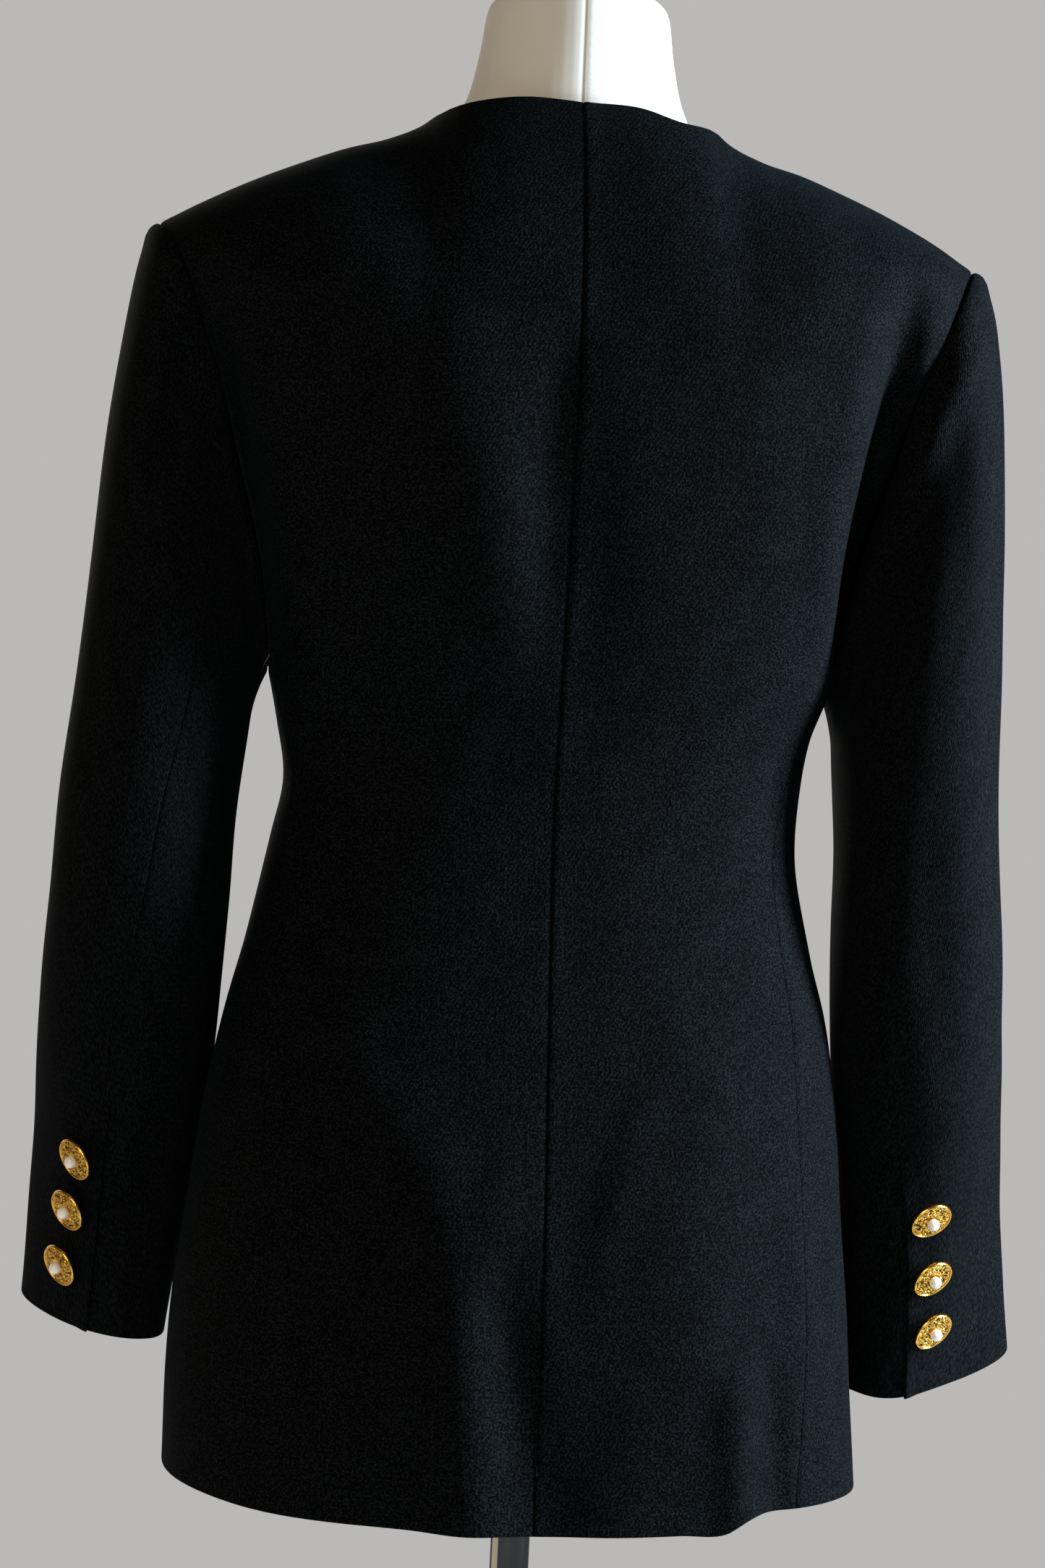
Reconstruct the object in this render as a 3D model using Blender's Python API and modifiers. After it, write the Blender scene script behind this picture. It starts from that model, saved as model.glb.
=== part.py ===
# Collarless cocktail jacket on a limbless dress form, in its worn shape.
# Metres, +Z up. The jacket faces -Y and the wearer's left is +X.
# The origin is on the floor under the pole, in the middle of the base's underside.

import bpy
import numpy as np
from math import radians
from mathutils import Matrix, Vector
from mathutils.bvhtree import BVHTree

# Driving dimensions of the jacket
CLOTH = 0.0018
SEAM_GAP = 0.00032
HEM_Z = 0.691
HEM_EASE = 0.110
UNDERARM_Z = 1.128
UNDERARM_RISE = 0.008
BICEPS_Z = 1.100
NECK_POINT_X = 0.082
BREAK_Z = 1.190
LAP_STEP = 0.0026
LAP_REACH = 0.024
LAP_FADE = 0.030
LAP_TOP = 0.030

# Driving dimensions of the buttons
BUTTON_RADIUS = 0.0121
BUTTON_STAND = 0.0042
BUTTON_LIFT = 0.0009
PEARL_RADIUS = 0.0033
BUTTON_DROOP = {"left": 17.0, "right": 20.0}
BUTTON_DISH = 0.0030
CUP_DEPTH = 0.0016
SHANK_RADIUS = 0.0028

# Driving dimensions of the dress form and its stand
POLE_RADIUS = 0.0105
BASE_RADIUS = 0.165
BASE_HEIGHT = 0.014
FORM_FOOT_Z = 0.800
REST_GAP = 0.0003

# Mesh counts
LOW_ROWS = 10
HIGH_ROWS = 12
BACK_COLUMNS = 12
FRONT_COLUMNS = 8
SHOULDER_COLUMNS = 8
SIDE_COLUMNS = 4
CAP_ROWS = 10
ARM_ROWS = 11
ELBOW_ROW = 3
FRONT_SEAM_ROW = 2
FORM_STEPS = 28
BUTTON_STEPS = 18
PEARL_STEPS = 10

SIGN = {"left": 1.0, "right": -1.0}
# The direction that orders the corners along an edge, so that two edges split alike
RIM_ORDER = (0.31, 0.53, 0.79)


def table(columns, *rows):
    """A small table with named columns, a row for each level or place."""
    return dict(zip(columns.split(), np.array(rows, float).T))


# Horizontal sections of the body: half widths on each side, depths behind and in front
BODY = table(
    "z left right back front square",
    (0.691, 0.190, 0.1830, 0.141, 0.124, 2.4),
    (0.750, 0.190, 0.1790, 0.140, 0.122, 2.4),
    (0.800, 0.188, 0.1745, 0.135, 0.120, 2.4),
    (0.850, 0.182, 0.1695, 0.127, 0.117, 2.4),
    (0.905, 0.175, 0.1650, 0.112, 0.112, 2.4),
    (0.950, 0.167, 0.1580, 0.099, 0.107, 2.4),
    (0.985, 0.158, 0.1490, 0.089, 0.103, 2.4),
    (1.040, 0.1465, 0.138, 0.079, 0.099, 2.4),
    (1.068, 0.142, 0.1385, 0.079, 0.100, 2.4),
    (1.100, 0.147, 0.1430, 0.084, 0.106, 2.5),
    (1.130, 0.153, 0.1530, 0.092, 0.116, 2.7),
    (1.170, 0.161, 0.1610, 0.101, 0.128, 2.9),
    (1.210, 0.171, 0.1700, 0.109, 0.130, 3.0),
    (1.250, 0.184, 0.1840, 0.114, 0.126, 3.0),
    (1.300, 0.203, 0.2030, 0.116, 0.116, 3.0),
    (1.370, 0.235, 0.2350, 0.114, 0.098, 3.0),
    (1.440, 0.262, 0.2620, 0.112, 0.084, 3.0),
)

# Shoulder line from the neck to the padded tip, and the height over which it rounds off
RIDGE = table(
    "x z round",
    (0.000, 1.463, 0.200),
    (0.045, 1.455, 0.180),
    (0.065, 1.4435, 0.165),
    (0.082, 1.4270, 0.150),
    (0.100, 1.4180, 0.130),
    (0.123, 1.4110, 0.115),
    (0.150, 1.4003, 0.100),
    (0.172, 1.3906, 0.086),
    (0.200, 1.3765, 0.068),
    (0.2225, 1.3640, 0.058),
)

# Back neckline, from the centre back to the neck point
NECKLINE = table(
    "x left right",
    (0.000, 1.4335, 1.4335),
    (0.030, 1.4355, 1.4325),
    (0.055, 1.4330, 1.4255),
    (0.082, 1.4270, 1.4270),
)

# How far the hem rises above its lowest level, across the back from right to left
HEM_RISE = table(
    "x rise",
    (-0.200, 0.0105),
    (-0.160, 0.0118),
    (-0.128, 0.0110),
    (-0.110, 0.0085),
    (-0.098, 0.0025),
    (-0.075, 0.0018),
    (-0.030, 0.0008),
    (0.080, 0.0018),
    (0.150, 0.0045),
    (0.175, 0.0075),
    (0.200, 0.0110),
)

# Front neckline: the edge of the V from the break to the neck point
FRONT_EDGE = table(
    "z x",
    (1.180, -0.018),
    (1.200, -0.014),
    (1.250, 0.010),
    (1.320, 0.041),
    (1.380, 0.066),
    (1.427, 0.082),
)

# Half width at the armhole seam
ARMHOLE = table(
    "z back front",
    (1.1360, 0.1530, 0.1530),
    (1.1650, 0.1575, 0.1570),
    (1.2000, 0.1660, 0.1640),
    (1.2450, 0.1778, 0.1720),
    (1.2800, 0.1865, 0.1795),
    (1.3000, 0.1935, 0.1860),
    (1.3200, 0.2005, 0.1940),
    (1.3400, 0.2085, 0.2040),
    (1.3550, 0.2160, 0.2140),
    (1.3640, 0.2225, 0.2225),
)

# Seams of the side panel, as shares of the half width
SIDE_SEAMS = table(
    "z back_left back_right front",
    (0.691, 0.734, 0.754, 0.860),
    (0.790, 0.738, 0.797, 0.850),
    (0.850, 0.747, 0.807, 0.850),
    (0.910, 0.770, 0.815, 0.860),
    (0.950, 0.815, 0.830, 0.870),
    (1.000, 0.880, 0.850, 0.890),
    (1.045, 0.940, 0.875, 0.915),
    (1.080, 0.965, 0.915, 0.950),
    (1.110, 0.982, 0.960, 0.975),
    (1.136, 0.990, 0.990, 0.990),
)

# Largest folds of the back: soft ridges and troughs between two points of the back, and
# how they fade beyond their ends and towards the sides and the shoulder
FOLD_BEFORE = 0.15
FOLD_RISE = 0.40
FOLD_BEYOND = 0.25
FOLD_FALL = 0.35
SIDE_FADE = 0.35
SHOULDER_FADE = 0.30
FOLDS = table(
    "x_top z_top x_low z_low half_width height",
    (-0.175, 1.330, -0.155, 1.150, 0.012, -0.026),
    (0.200, 1.330, 0.157, 1.150, 0.013, -0.013),
    (-0.103, 0.780, -0.107, 0.680, 0.013, 0.006),
    (-0.119, 0.775, -0.124, 0.680, 0.011, -0.007),
    (0.062, 0.900, 0.030, 0.680, 0.020, 0.006),
    (0.028, 0.830, 0.000, 0.700, 0.016, -0.004),
)

# Sleeve sections below the biceps: centre, long and short half axes, where the broad face
# points, the elbow and front seams' angles round the section, and its slopes
SLEEVES = {
    "left": table(
        "z x y long short facing elbow front slope_y slope_x square",
        (0.7685, 0.2340, -0.0705, 0.0540, 0.0325, 58, 134, 285, -0.12, 0.115, 2.2),
        (0.850, 0.2262, -0.055, 0.0525, 0.0395, 65, 147, 288, -0.24, 0.05, 2.5),
        (0.930, 0.2200, -0.026, 0.0570, 0.0475, 78, 166, 297, -0.14, 0.00, 2.3),
        (1.000, 0.2165, -0.007, 0.0600, 0.0485, 86, 180, 305, -0.03, 0.00, 2.2),
        (1.050, 0.2140, -0.001, 0.0610, 0.0480, 89, 188, 310, 0.00, 0.00, 2.2),
        (1.100, 0.2090, 0.000, 0.0620, 0.0480, 90, 195, 315, 0.00, 0.00, 2.2),
    ),
    "right": table(
        "z x y long short facing elbow front slope_y slope_x square",
        (0.7570, 0.2325, -0.0570, 0.0548, 0.0325, 36, 131, 284, -0.25, 0.10, 3.1),
        (0.850, 0.2235, -0.035, 0.0530, 0.0395, 52, 158, 300, -0.26, 0.05, 2.5),
        (0.930, 0.2140, -0.012, 0.0575, 0.0465, 72, 190, 316, -0.14, 0.00, 2.3),
        (1.000, 0.2090, -0.003, 0.0600, 0.0465, 83, 212, 332, -0.03, 0.00, 2.2),
        (1.050, 0.2060, 0.000, 0.0610, 0.0445, 88, 216, 334, 0.00, 0.00, 2.2),
        (1.100, 0.2035, 0.000, 0.0620, 0.0450, 90, 216, 334, 0.00, 0.00, 2.2),
    ),
}

# How far a column of the sleeve keeps its first direction: over the head, elsewhere, and
# above the biceps; the armhole's middle, and how the columns fan out from it
HEAD_REACH = {"left": 0.225, "right": 0.31}
SIDE_REACH = 0.38
BICEPS_REACH = 0.90
ARMHOLE_CENTRE_Z = 1.245
FAN = 0.22
CAP_SPACING = 1.35
PROBE_STEP = 0.004

# The way out and down in which the columns leave the armhole, from its underarm to its top
LEAVING = table(
    "place out down",
    (-1.0, 0.42, -0.92),
    (0.0, 0.72, -0.62),
    (1.0, 1.02, -0.12),
)

# Cuff buttons: height, and the turn round the section from the elbow seam
CUFF_BUTTONS = {
    "left": table("z turn", (0.8610, 17.0), (0.8310, 20.5), (0.8015, 23.5)),
    "right": table("z turn", (0.8480, 15.5), (0.8150, 15.0), (0.7840, 15.0)),
}
FRONT_BUTTON_Z = (1.160, 1.080, 1.000)

# Dress form: rings from the foot to the top of the neck, each bent so that it follows
# the shoulders; the side, back and front of a ring lie at their own heights
FORM = table(
    "side_x side_z back_y back_z front_y front_z square",
    (0.120, 0.800, 0.080, 0.800, 0.080, 0.800, 2.3),
    (0.146, 0.803, 0.104, 0.803, 0.096, 0.803, 2.3),
    (0.152, 0.830, 0.108, 0.830, 0.100, 0.830, 2.3),
    (0.140, 0.920, 0.092, 0.920, 0.092, 0.920, 2.3),
    (0.118, 1.045, 0.064, 1.040, 0.080, 1.045, 2.3),
    (0.124, 1.120, 0.074, 1.130, 0.098, 1.110, 2.4),
    (0.140, 1.200, 0.090, 1.210, 0.112, 1.180, 2.5),
    (0.158, 1.280, 0.098, 1.290, 0.104, 1.250, 2.5),
    (0.172, 1.340, 0.092, 1.335, 0.088, 1.310, 2.2),
    (0.172, 1.364, 0.084, 1.365, 0.074, 1.350, 2.0),
    (0.156, 1.388, 0.074, 1.388, 0.062, 1.378, 1.9),
    (0.125, 1.4072, 0.064, 1.406, 0.056, 1.398, 1.8),
    (0.095, 1.4160, 0.056, 1.422, 0.053, 1.416, 1.8),
    (0.073, 1.4235, 0.0530, 1.434, 0.052, 1.432, 1.9),
    (0.060, 1.442, 0.0515, 1.448, 0.051, 1.446, 2.0),
    (0.0535, 1.468, 0.0505, 1.470, 0.050, 1.468, 2.0),
    (0.0500, 1.492, 0.0485, 1.492, 0.048, 1.492, 2.0),
    (0.0455, 1.499, 0.0450, 1.499, 0.045, 1.499, 2.0),
    (0.0360, 1.502, 0.0360, 1.502, 0.036, 1.502, 2.0),
)

# Colours as red, green, blue in linear light, roughness and metallic value
FINISHES = {
    "wool": ((0.006, 0.007, 0.009), 0.85, 0.0),
    "jersey": ((0.72, 0.70, 0.64), 0.90, 0.0),
    "gold": ((0.80, 0.52, 0.20), 0.30, 1.0),
    "pearl": ((0.85, 0.80, 0.72), 0.22, 0.0),
    "chrome": ((0.62, 0.63, 0.64), 0.15, 1.0),
}


def unit(vectors):
    """Vectors of length one."""
    return vectors / np.linalg.norm(vectors, axis=-1, keepdims=True)


def curve(x, xs, ys):
    """Smooth curve through a table's values, a cubic between each two rows."""
    slopes = np.gradient(ys, xs)
    x = np.clip(x, xs[0], xs[-1])
    i = np.clip(np.searchsorted(xs, x, side="right") - 1, 0, len(xs) - 2)
    step = xs[i + 1] - xs[i]
    t = (x - xs[i]) / step
    start = (2 * t**3 - 3 * t**2 + 1) * ys[i] + (t**3 - 2 * t**2 + t) * step * slopes[i]
    end = (3 * t**2 - 2 * t**3) * ys[i + 1] + (t**3 - t**2) * step * slopes[i + 1]
    return start + end


def look(sheet, name, at, key="z"):
    """One column of a table, read at the given heights or places."""
    return curve(at, sheet[key], sheet[name])


def power(values, exponent):
    """A power that keeps the sign."""
    return np.sign(values) * np.abs(values) ** exponent


def smooth_step(t):
    """0 below 0, 1 above 1, and a soft rise between."""
    t = np.clip(t, 0.0, 1.0)
    return t * t * (3 - 2 * t)


def half_width(side, z):
    return look(BODY, side, z)


def angle_at(side, x, z):
    """Angle round a body section, 0 at the centre line, where it is x from that line."""
    share = np.clip(x / half_width(side, z), -1.0, 1.0)
    return np.arcsin(power(share, look(BODY, "square", z) / 2))


def fold_height(x, z):
    """How far the folds of the back stand out of the plain form."""
    total = np.zeros(np.broadcast(x, z).shape)
    for x0, z0, x1, z1, width, height in zip(*FOLDS.values()):
        along = np.array([x1 - x0, z1 - z0])
        length = np.linalg.norm(along)
        t = ((x - x0) * along[0] + (z - z0) * along[1]) / length**2
        across = ((x - x0) * along[1] - (z - z0) * along[0]) / length
        ends = smooth_step((t + FOLD_BEFORE) / FOLD_RISE)
        ends = ends * smooth_step((1 + FOLD_BEYOND - t) / FOLD_FALL)
        total = total + height * ends * np.exp(-((across / width) ** 2))
    return total


def body_point(side, angle, z):
    """Outer face of the jacket's body; the angle is 0 at the centre back, pi at the front."""
    exponent = 2 / look(BODY, "square", z)
    x = half_width(side, z) * power(np.sin(angle), exponent)
    reach = np.where(np.cos(angle) > 0, look(BODY, "back", z), look(BODY, "front", z))
    y = reach * power(np.cos(angle), exponent)
    below = look(RIDGE, "z", np.abs(x), "x") - z
    drop = np.clip(below / look(RIDGE, "round", np.abs(x), "x"), 0.0, 1.0)
    arch = np.sqrt(1 - (1 - drop) ** 2)
    y = y * arch
    world_x = SIGN[side] * x
    behind = smooth_step(np.cos(angle) / SIDE_FADE) * smooth_step(drop / SHOULDER_FADE)
    y = y + behind * fold_height(world_x, z)
    ease = np.clip(1 - (z - HEM_Z) / HEM_EASE, 0.0, 1.0) ** 2
    z = z + ease * look(HEM_RISE, "rise", world_x, "x")
    return np.stack(np.broadcast_arrays(world_x, y, z), -1)


def row_levels():
    """Heights of the rows up to the underarm, and shares of the rest up to the shoulder."""
    low = np.linspace(HEM_Z, UNDERARM_Z + UNDERARM_RISE, LOW_ROWS + 1)
    steps = np.arange(1, HIGH_ROWS + 1) / HIGH_ROWS
    return low, 1 - (1 - steps) ** 2


def span(centre_edge, outer_edge, top_line, columns):
    """Angles and heights of a panel between its centre edge, outer edge and top line."""
    low, high = row_levels()
    rise = np.concatenate([np.zeros(len(low)), high])[:, None, None]
    across = np.linspace(0.0, 1.0, columns + 1)[None, :, None]
    ruled = (1 - across) * centre_edge[:, None] + across * outer_edge[:, None]
    ends = (1 - across) * top_line[:1] + across * top_line[-1:]
    return ruled + rise * (top_line[None] - ends)


def shoulder_line():
    """Places and heights along the shoulder, from the neck point to the tip."""
    x = np.linspace(NECK_POINT_X, RIDGE["x"][-1], SHOULDER_COLUMNS + 1)
    return x, look(RIDGE, "z", x, "x")


def back_panel(side):
    low, high = row_levels()
    x, z = shoulder_line()
    neck_x = np.linspace(0.0, NECK_POINT_X, BACK_COLUMNS - SHOULDER_COLUMNS + 1)[:-1]
    neck_z = look(NECKLINE, side, neck_x, "x")
    x, z = np.concatenate([neck_x, x]), np.concatenate([neck_z, z])
    top = np.stack([angle_at(side, x, z), z], -1)
    centre_z = np.concatenate([low, low[-1] + (z[0] - low[-1]) * high])
    centre = np.stack([np.zeros_like(centre_z), centre_z], -1)
    seam = angle_at(side, look(SIDE_SEAMS, "back_" + side, low) * half_width(side, low), low)
    arm_z = low[-1] + (z[-1] - low[-1]) * high
    arm = angle_at(side, look(ARMHOLE, "back", arm_z), arm_z)
    arm[-1] = top[-1, 0]
    outer = np.stack([np.concatenate([seam, arm]), np.concatenate([low, arm_z])], -1)
    grid = span(centre, outer, top, BACK_COLUMNS)
    return body_point(side, grid[..., 0], grid[..., 1])


def front_panel(side):
    low, high = row_levels()
    x, z = shoulder_line()
    if FRONT_COLUMNS != SHOULDER_COLUMNS:
        raise ValueError("the front's columns end on the shoulder seam")
    top = np.stack([np.pi - angle_at(side, x, z), z], -1)
    edge_z = np.concatenate([low, low[-1] + (z[0] - low[-1]) * high])
    edge_x = look(FRONT_EDGE, "x", edge_z)
    edge_angle = np.pi - angle_at(side, edge_x, edge_z)
    edge_angle[-1] = top[0, 0]
    edge = np.stack([edge_angle, edge_z], -1)
    seam_x = look(SIDE_SEAMS, "front", low) * half_width(side, low)
    seam = np.pi - angle_at(side, seam_x, low)
    arm_z = low[-1] + (z[-1] - low[-1]) * high
    arm = np.pi - angle_at(side, look(ARMHOLE, "front", arm_z), arm_z)
    arm[-1] = top[-1, 0]
    outer = np.stack([np.concatenate([seam, arm]), np.concatenate([low, arm_z])], -1)
    grid = span(edge, outer, top, FRONT_COLUMNS)
    points = body_point(side, grid[..., 0], grid[..., 1])
    if side == "left":
        lapped = 1 - smooth_step((np.abs(points[..., 0]) - LAP_REACH) / LAP_FADE)
        lapped *= 1 - smooth_step((points[..., 2] - BREAK_Z - LAP_TOP) / (2 * LAP_FADE))
        points[..., 1] += LAP_STEP * lapped
    return points


def side_panel(side):
    low, _ = row_levels()
    half = half_width(side, low)
    back = angle_at(side, look(SIDE_SEAMS, "back_" + side, low) * half, low)
    front = np.pi - angle_at(side, look(SIDE_SEAMS, "front", low) * half, low)
    across = np.linspace(0.0, 1.0, SIDE_COLUMNS + 1)
    angle = back[:, None] + (front - back)[:, None] * across
    dip = UNDERARM_RISE * (1 - (2 * across - 1) ** 2)
    share = ((low - low[0]) / (low[-1] - low[0]))[:, None] ** 3
    return body_point(side, angle, low[:, None] - share * dip)


def sleeve_point(side, turn, z):
    """Outer face of a sleeve below the biceps; the turn is an angle round its section."""
    row = {name: look(SLEEVES[side], name, z) for name in SLEEVES[side] if name != "z"}
    facing = np.radians(row["facing"])
    along = row["long"] * power(np.cos(turn), 2 / row["square"])
    out = row["short"] * power(np.sin(turn), 2 / row["square"])
    dx = along * np.cos(facing) + out * np.sin(facing)
    dy = -along * np.sin(facing) + out * np.cos(facing)
    height = z + row["slope_y"] * dy + row["slope_x"] * dx
    x, y = row["x"] + dx, row["y"] + dy
    return np.stack(np.broadcast_arrays(SIGN[side] * x, y, height), -1)


def sleeve_turns(side, ring, z, part):
    """Angle round the section for each column, spaced as the columns are on the armhole."""
    steps = np.linalg.norm(np.diff(ring, axis=0), axis=1)
    share = np.concatenate([[0.0], np.cumsum(steps)]) / steps.sum()
    elbow = look(SLEEVES[side], "elbow", z)[:, None]
    front = look(SLEEVES[side], "front", z)[:, None]
    if part == "top":
        return np.radians(elbow + share * (front - 360 - elbow))
    return np.radians(front + share * (elbow - front))


def sleeve_panel(side, ring, part):
    """Columns that leave the armhole, turn down over the sleeve head and run to the cuff."""
    sheet = SLEEVES[side]
    levels = np.linspace(BICEPS_Z, sheet["z"][0], ARM_ROWS + 1)
    tube = sleeve_point(side, sleeve_turns(side, ring, levels, part), levels[:, None])
    below = levels[:1] - PROBE_STEP
    end_way = sleeve_point(side, sleeve_turns(side, ring, below, part), below[:, None])[0]
    end_way = unit(end_way - tube[0])
    radial = ring - np.array([0.0, 0.0, ARMHOLE_CENTRE_Z])
    radial[:, 0] = 0.0
    radial = unit(radial)
    up = radial[:, 2]
    out = SIGN[side] * np.interp(up, LEAVING["place"], LEAVING["out"])
    down = np.interp(up, LEAVING["place"], LEAVING["down"])
    start_way = unit(np.stack([out, FAN * radial[:, 1], down], -1))
    reach = np.linalg.norm(tube[0] - ring, axis=1)[:, None]
    over = np.clip(up, 0.0, 1.0)[:, None] ** 2
    start = (SIDE_REACH + (HEAD_REACH[side] - SIDE_REACH) * over) * reach
    t = (np.linspace(0.0, 1.0, CAP_ROWS + 1)[:-1] ** CAP_SPACING)[:, None, None]
    cap = (2 * t**3 - 3 * t**2 + 1) * ring + (3 * t**2 - 2 * t**3) * tube[0]
    cap = cap + (t**3 - 2 * t**2 + t) * start * start_way
    cap = cap + (t**3 - t**2) * BICEPS_REACH * reach * end_way
    return np.concatenate([cap, tube])


def facing_out(points, sign):
    """Outward directions of a grid of points."""
    up, across = np.gradient(points, axis=0), np.gradient(points, axis=1)
    return sign * unit(np.cross(up, across))


class Panel:
    """One cut piece of cloth: its outer face as a grid, and the way its wall faces."""

    def __init__(self, name, points, sign):
        self.name = name
        self.points = points
        self.out = facing_out(points, sign)

    def column(self, index, inner, part=slice(None)):
        return self.points[part, index], self.points[part, inner], self.out[part, index]

    def row(self, index, inner, part=slice(None)):
        return self.points[index, part], self.points[inner, part], self.out[index, part]


def sew(one, two):
    """Part two edges that share a line by the seam gap and give their walls one direction."""
    edge_one, inner_one, out_one = one
    edge_two, inner_two, out_two = two
    apart = unit(unit(inner_one - edge_one) - unit(inner_two - edge_two))
    shared = out_one + out_two
    shared = unit(shared - apart * np.sum(apart * shared, -1, keepdims=True))
    edge_one += apart * SEAM_GAP / 2
    edge_two -= apart * SEAM_GAP / 2
    out_one[:] = shared
    out_two[:] = shared


def join_directions(*corners):
    """Give the corners of pieces that meet at one point the same wall direction."""
    shared = unit(sum(panel.out[row, column] for panel, row, column in corners))
    for panel, row, column in corners:
        panel.out[row, column] = shared


def jacket_panels():
    panels = []
    backs = []
    for side, sign in SIGN.items():
        back = Panel("back_" + side, back_panel(side), sign)
        front = Panel("front_" + side, front_panel(side), -sign)
        flank = Panel("side_" + side, side_panel(side), sign)
        armhole_back = back.points[LOW_ROWS:, -1].copy()
        armhole_front = front.points[LOW_ROWS:, -1].copy()
        over = np.concatenate(
            [armhole_back[ELBOW_ROW:], armhole_front[FRONT_SEAM_ROW:-1][::-1]]
        )
        under = np.concatenate(
            [
                armhole_front[1 : FRONT_SEAM_ROW + 1][::-1],
                flank.points[-1, ::-1],
                armhole_back[1 : ELBOW_ROW + 1],
            ]
        )
        top = Panel("top_sleeve_" + side, sleeve_panel(side, over, "top"), -sign)
        below = Panel("under_sleeve_" + side, sleeve_panel(side, under, "under"), -sign)

        low = slice(0, LOW_ROWS + 1)
        shoulder = slice(BACK_COLUMNS - SHOULDER_COLUMNS, None)
        sew(back.column(-1, -2, low), flank.column(0, 1))
        sew(front.column(-1, -2, low), flank.column(-1, -2))
        sew(back.row(-1, -2, shoulder), front.row(-1, -2))
        sew(top.column(0, 1), below.column(-1, -2))
        sew(top.column(-1, -2), below.column(0, 1))

        over_back = slice(0, HIGH_ROWS - ELBOW_ROW + 1)
        over_front = slice(HIGH_ROWS - ELBOW_ROW, None)
        sew(back.column(-1, -2, slice(LOW_ROWS + ELBOW_ROW, None)), top.row(0, 1, over_back))
        front_part = slice(None, LOW_ROWS + FRONT_SEAM_ROW - 1, -1)
        sew(front.column(-1, -2, front_part), top.row(0, 1, over_front))
        under_front = slice(0, FRONT_SEAM_ROW + 1)
        under_side = slice(FRONT_SEAM_ROW, FRONT_SEAM_ROW + SIDE_COLUMNS + 1)
        under_back = slice(FRONT_SEAM_ROW + SIDE_COLUMNS, None)
        front_low = slice(LOW_ROWS + FRONT_SEAM_ROW, LOW_ROWS - 1, -1)
        sew(front.column(-1, -2, front_low), below.row(0, 1, under_front))
        sew(flank.row(-1, -2, slice(None, None, -1)), below.row(0, 1, under_side))
        back_low = slice(LOW_ROWS, LOW_ROWS + ELBOW_ROW + 1)
        sew(back.column(-1, -2, back_low), below.row(0, 1, under_back))

        underarm_back = FRONT_SEAM_ROW + SIDE_COLUMNS
        elbow_row, front_row = LOW_ROWS + ELBOW_ROW, LOW_ROWS + FRONT_SEAM_ROW
        join_directions((back, -1, -1), (front, -1, -1), (top, 0, HIGH_ROWS - ELBOW_ROW))
        join_directions((back, LOW_ROWS, -1), (flank, -1, 0), (below, 0, underarm_back))
        join_directions((front, LOW_ROWS, -1), (flank, -1, -1), (below, 0, FRONT_SEAM_ROW))
        join_directions((back, elbow_row, -1), (top, 0, 0), (below, 0, -1))
        join_directions((front, front_row, -1), (top, 0, -1), (below, 0, 0))
        backs.append(back)
        panels += [back, front, flank, top, below]
    sew(backs[0].column(0, 1), backs[1].column(0, 1))
    return panels


def material(name):
    colour, roughness, metallic = FINISHES[name]
    made = bpy.data.materials.get(name)
    if made:
        return made
    made = bpy.data.materials.new(name)
    made.use_nodes = True
    shader = made.node_tree.nodes["Principled BSDF"]
    shader.inputs["Base Color"].default_value = (*colour, 1.0)
    shader.inputs["Roughness"].default_value = roughness
    shader.inputs["Metallic"].default_value = metallic
    return made


def add_object(name, mesh, finish, collection, place=None):
    for polygon in mesh.polygons:
        polygon.use_smooth = True
    mesh.materials.clear()
    own = material(finish).copy()
    own.name = name + "_" + finish
    mesh.materials.append(own)
    made = bpy.data.objects.new(name, mesh)
    collection.objects.link(made)
    if place is not None:
        made.matrix_world = place
    return made


def wall_mesh(panel):
    """The cloth's wall: the outer face, the inner face behind it and the four edges."""
    rows, columns, _ = panel.points.shape
    inner = panel.points - CLOTH * panel.out
    count = rows * columns
    index = np.arange(count).reshape(rows, columns)
    quads = np.stack(
        [index[:-1, :-1], index[:-1, 1:], index[1:, 1:], index[1:, :-1]], -1
    ).reshape(-1, 4)
    rim = np.concatenate([index[0], index[1:, -1], index[-1, -2::-1], index[-2:0:-1, 0]])
    after = np.roll(rim, -1)
    points = np.concatenate([panel.points.reshape(-1, 3), inner.reshape(-1, 3)])
    order = points @ np.array(RIM_ORDER)
    first = order[rim] < order[after]
    lower = np.where(first, after + count, rim + count)
    upper = np.where(first, rim, after)
    near = np.stack([rim, rim + count, lower], -1)
    far = np.stack([upper, after + count, after], -1)
    near[~first, 2] = after[~first]
    far[~first, 0] = (rim + count)[~first]
    faces = quads.tolist() + (quads[:, ::-1] + count).tolist() + near.tolist() + far.tolist()
    corners = points[quads]
    spread = np.cross(corners[:, 1] - corners[:, 0], corners[:, 2] - corners[:, 0])
    if np.sum(spread * panel.out.reshape(-1, 3)[quads[:, 0]]) < 0:
        faces = [face[::-1] for face in faces]
    mesh = bpy.data.meshes.new(panel.name)
    mesh.from_pydata(points.tolist(), [], faces)
    return mesh


def form_point(ring, angle):
    """A ring of the dress form; its height follows the angle from back or front to side."""
    row = {name: values[ring][:, None] for name, values in FORM.items()}
    exponent = 2 / row["square"]
    x = row["side_x"] * power(np.sin(angle), exponent)
    behind = np.cos(angle) > 0
    y = np.where(behind, row["back_y"], row["front_y"]) * power(np.cos(angle), exponent)
    middle = np.where(behind, row["back_z"], row["front_z"])
    z = row["side_z"] + (middle - row["side_z"]) * np.cos(angle) ** 2
    return np.stack(np.broadcast_arrays(x, y, z), -1)


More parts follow.
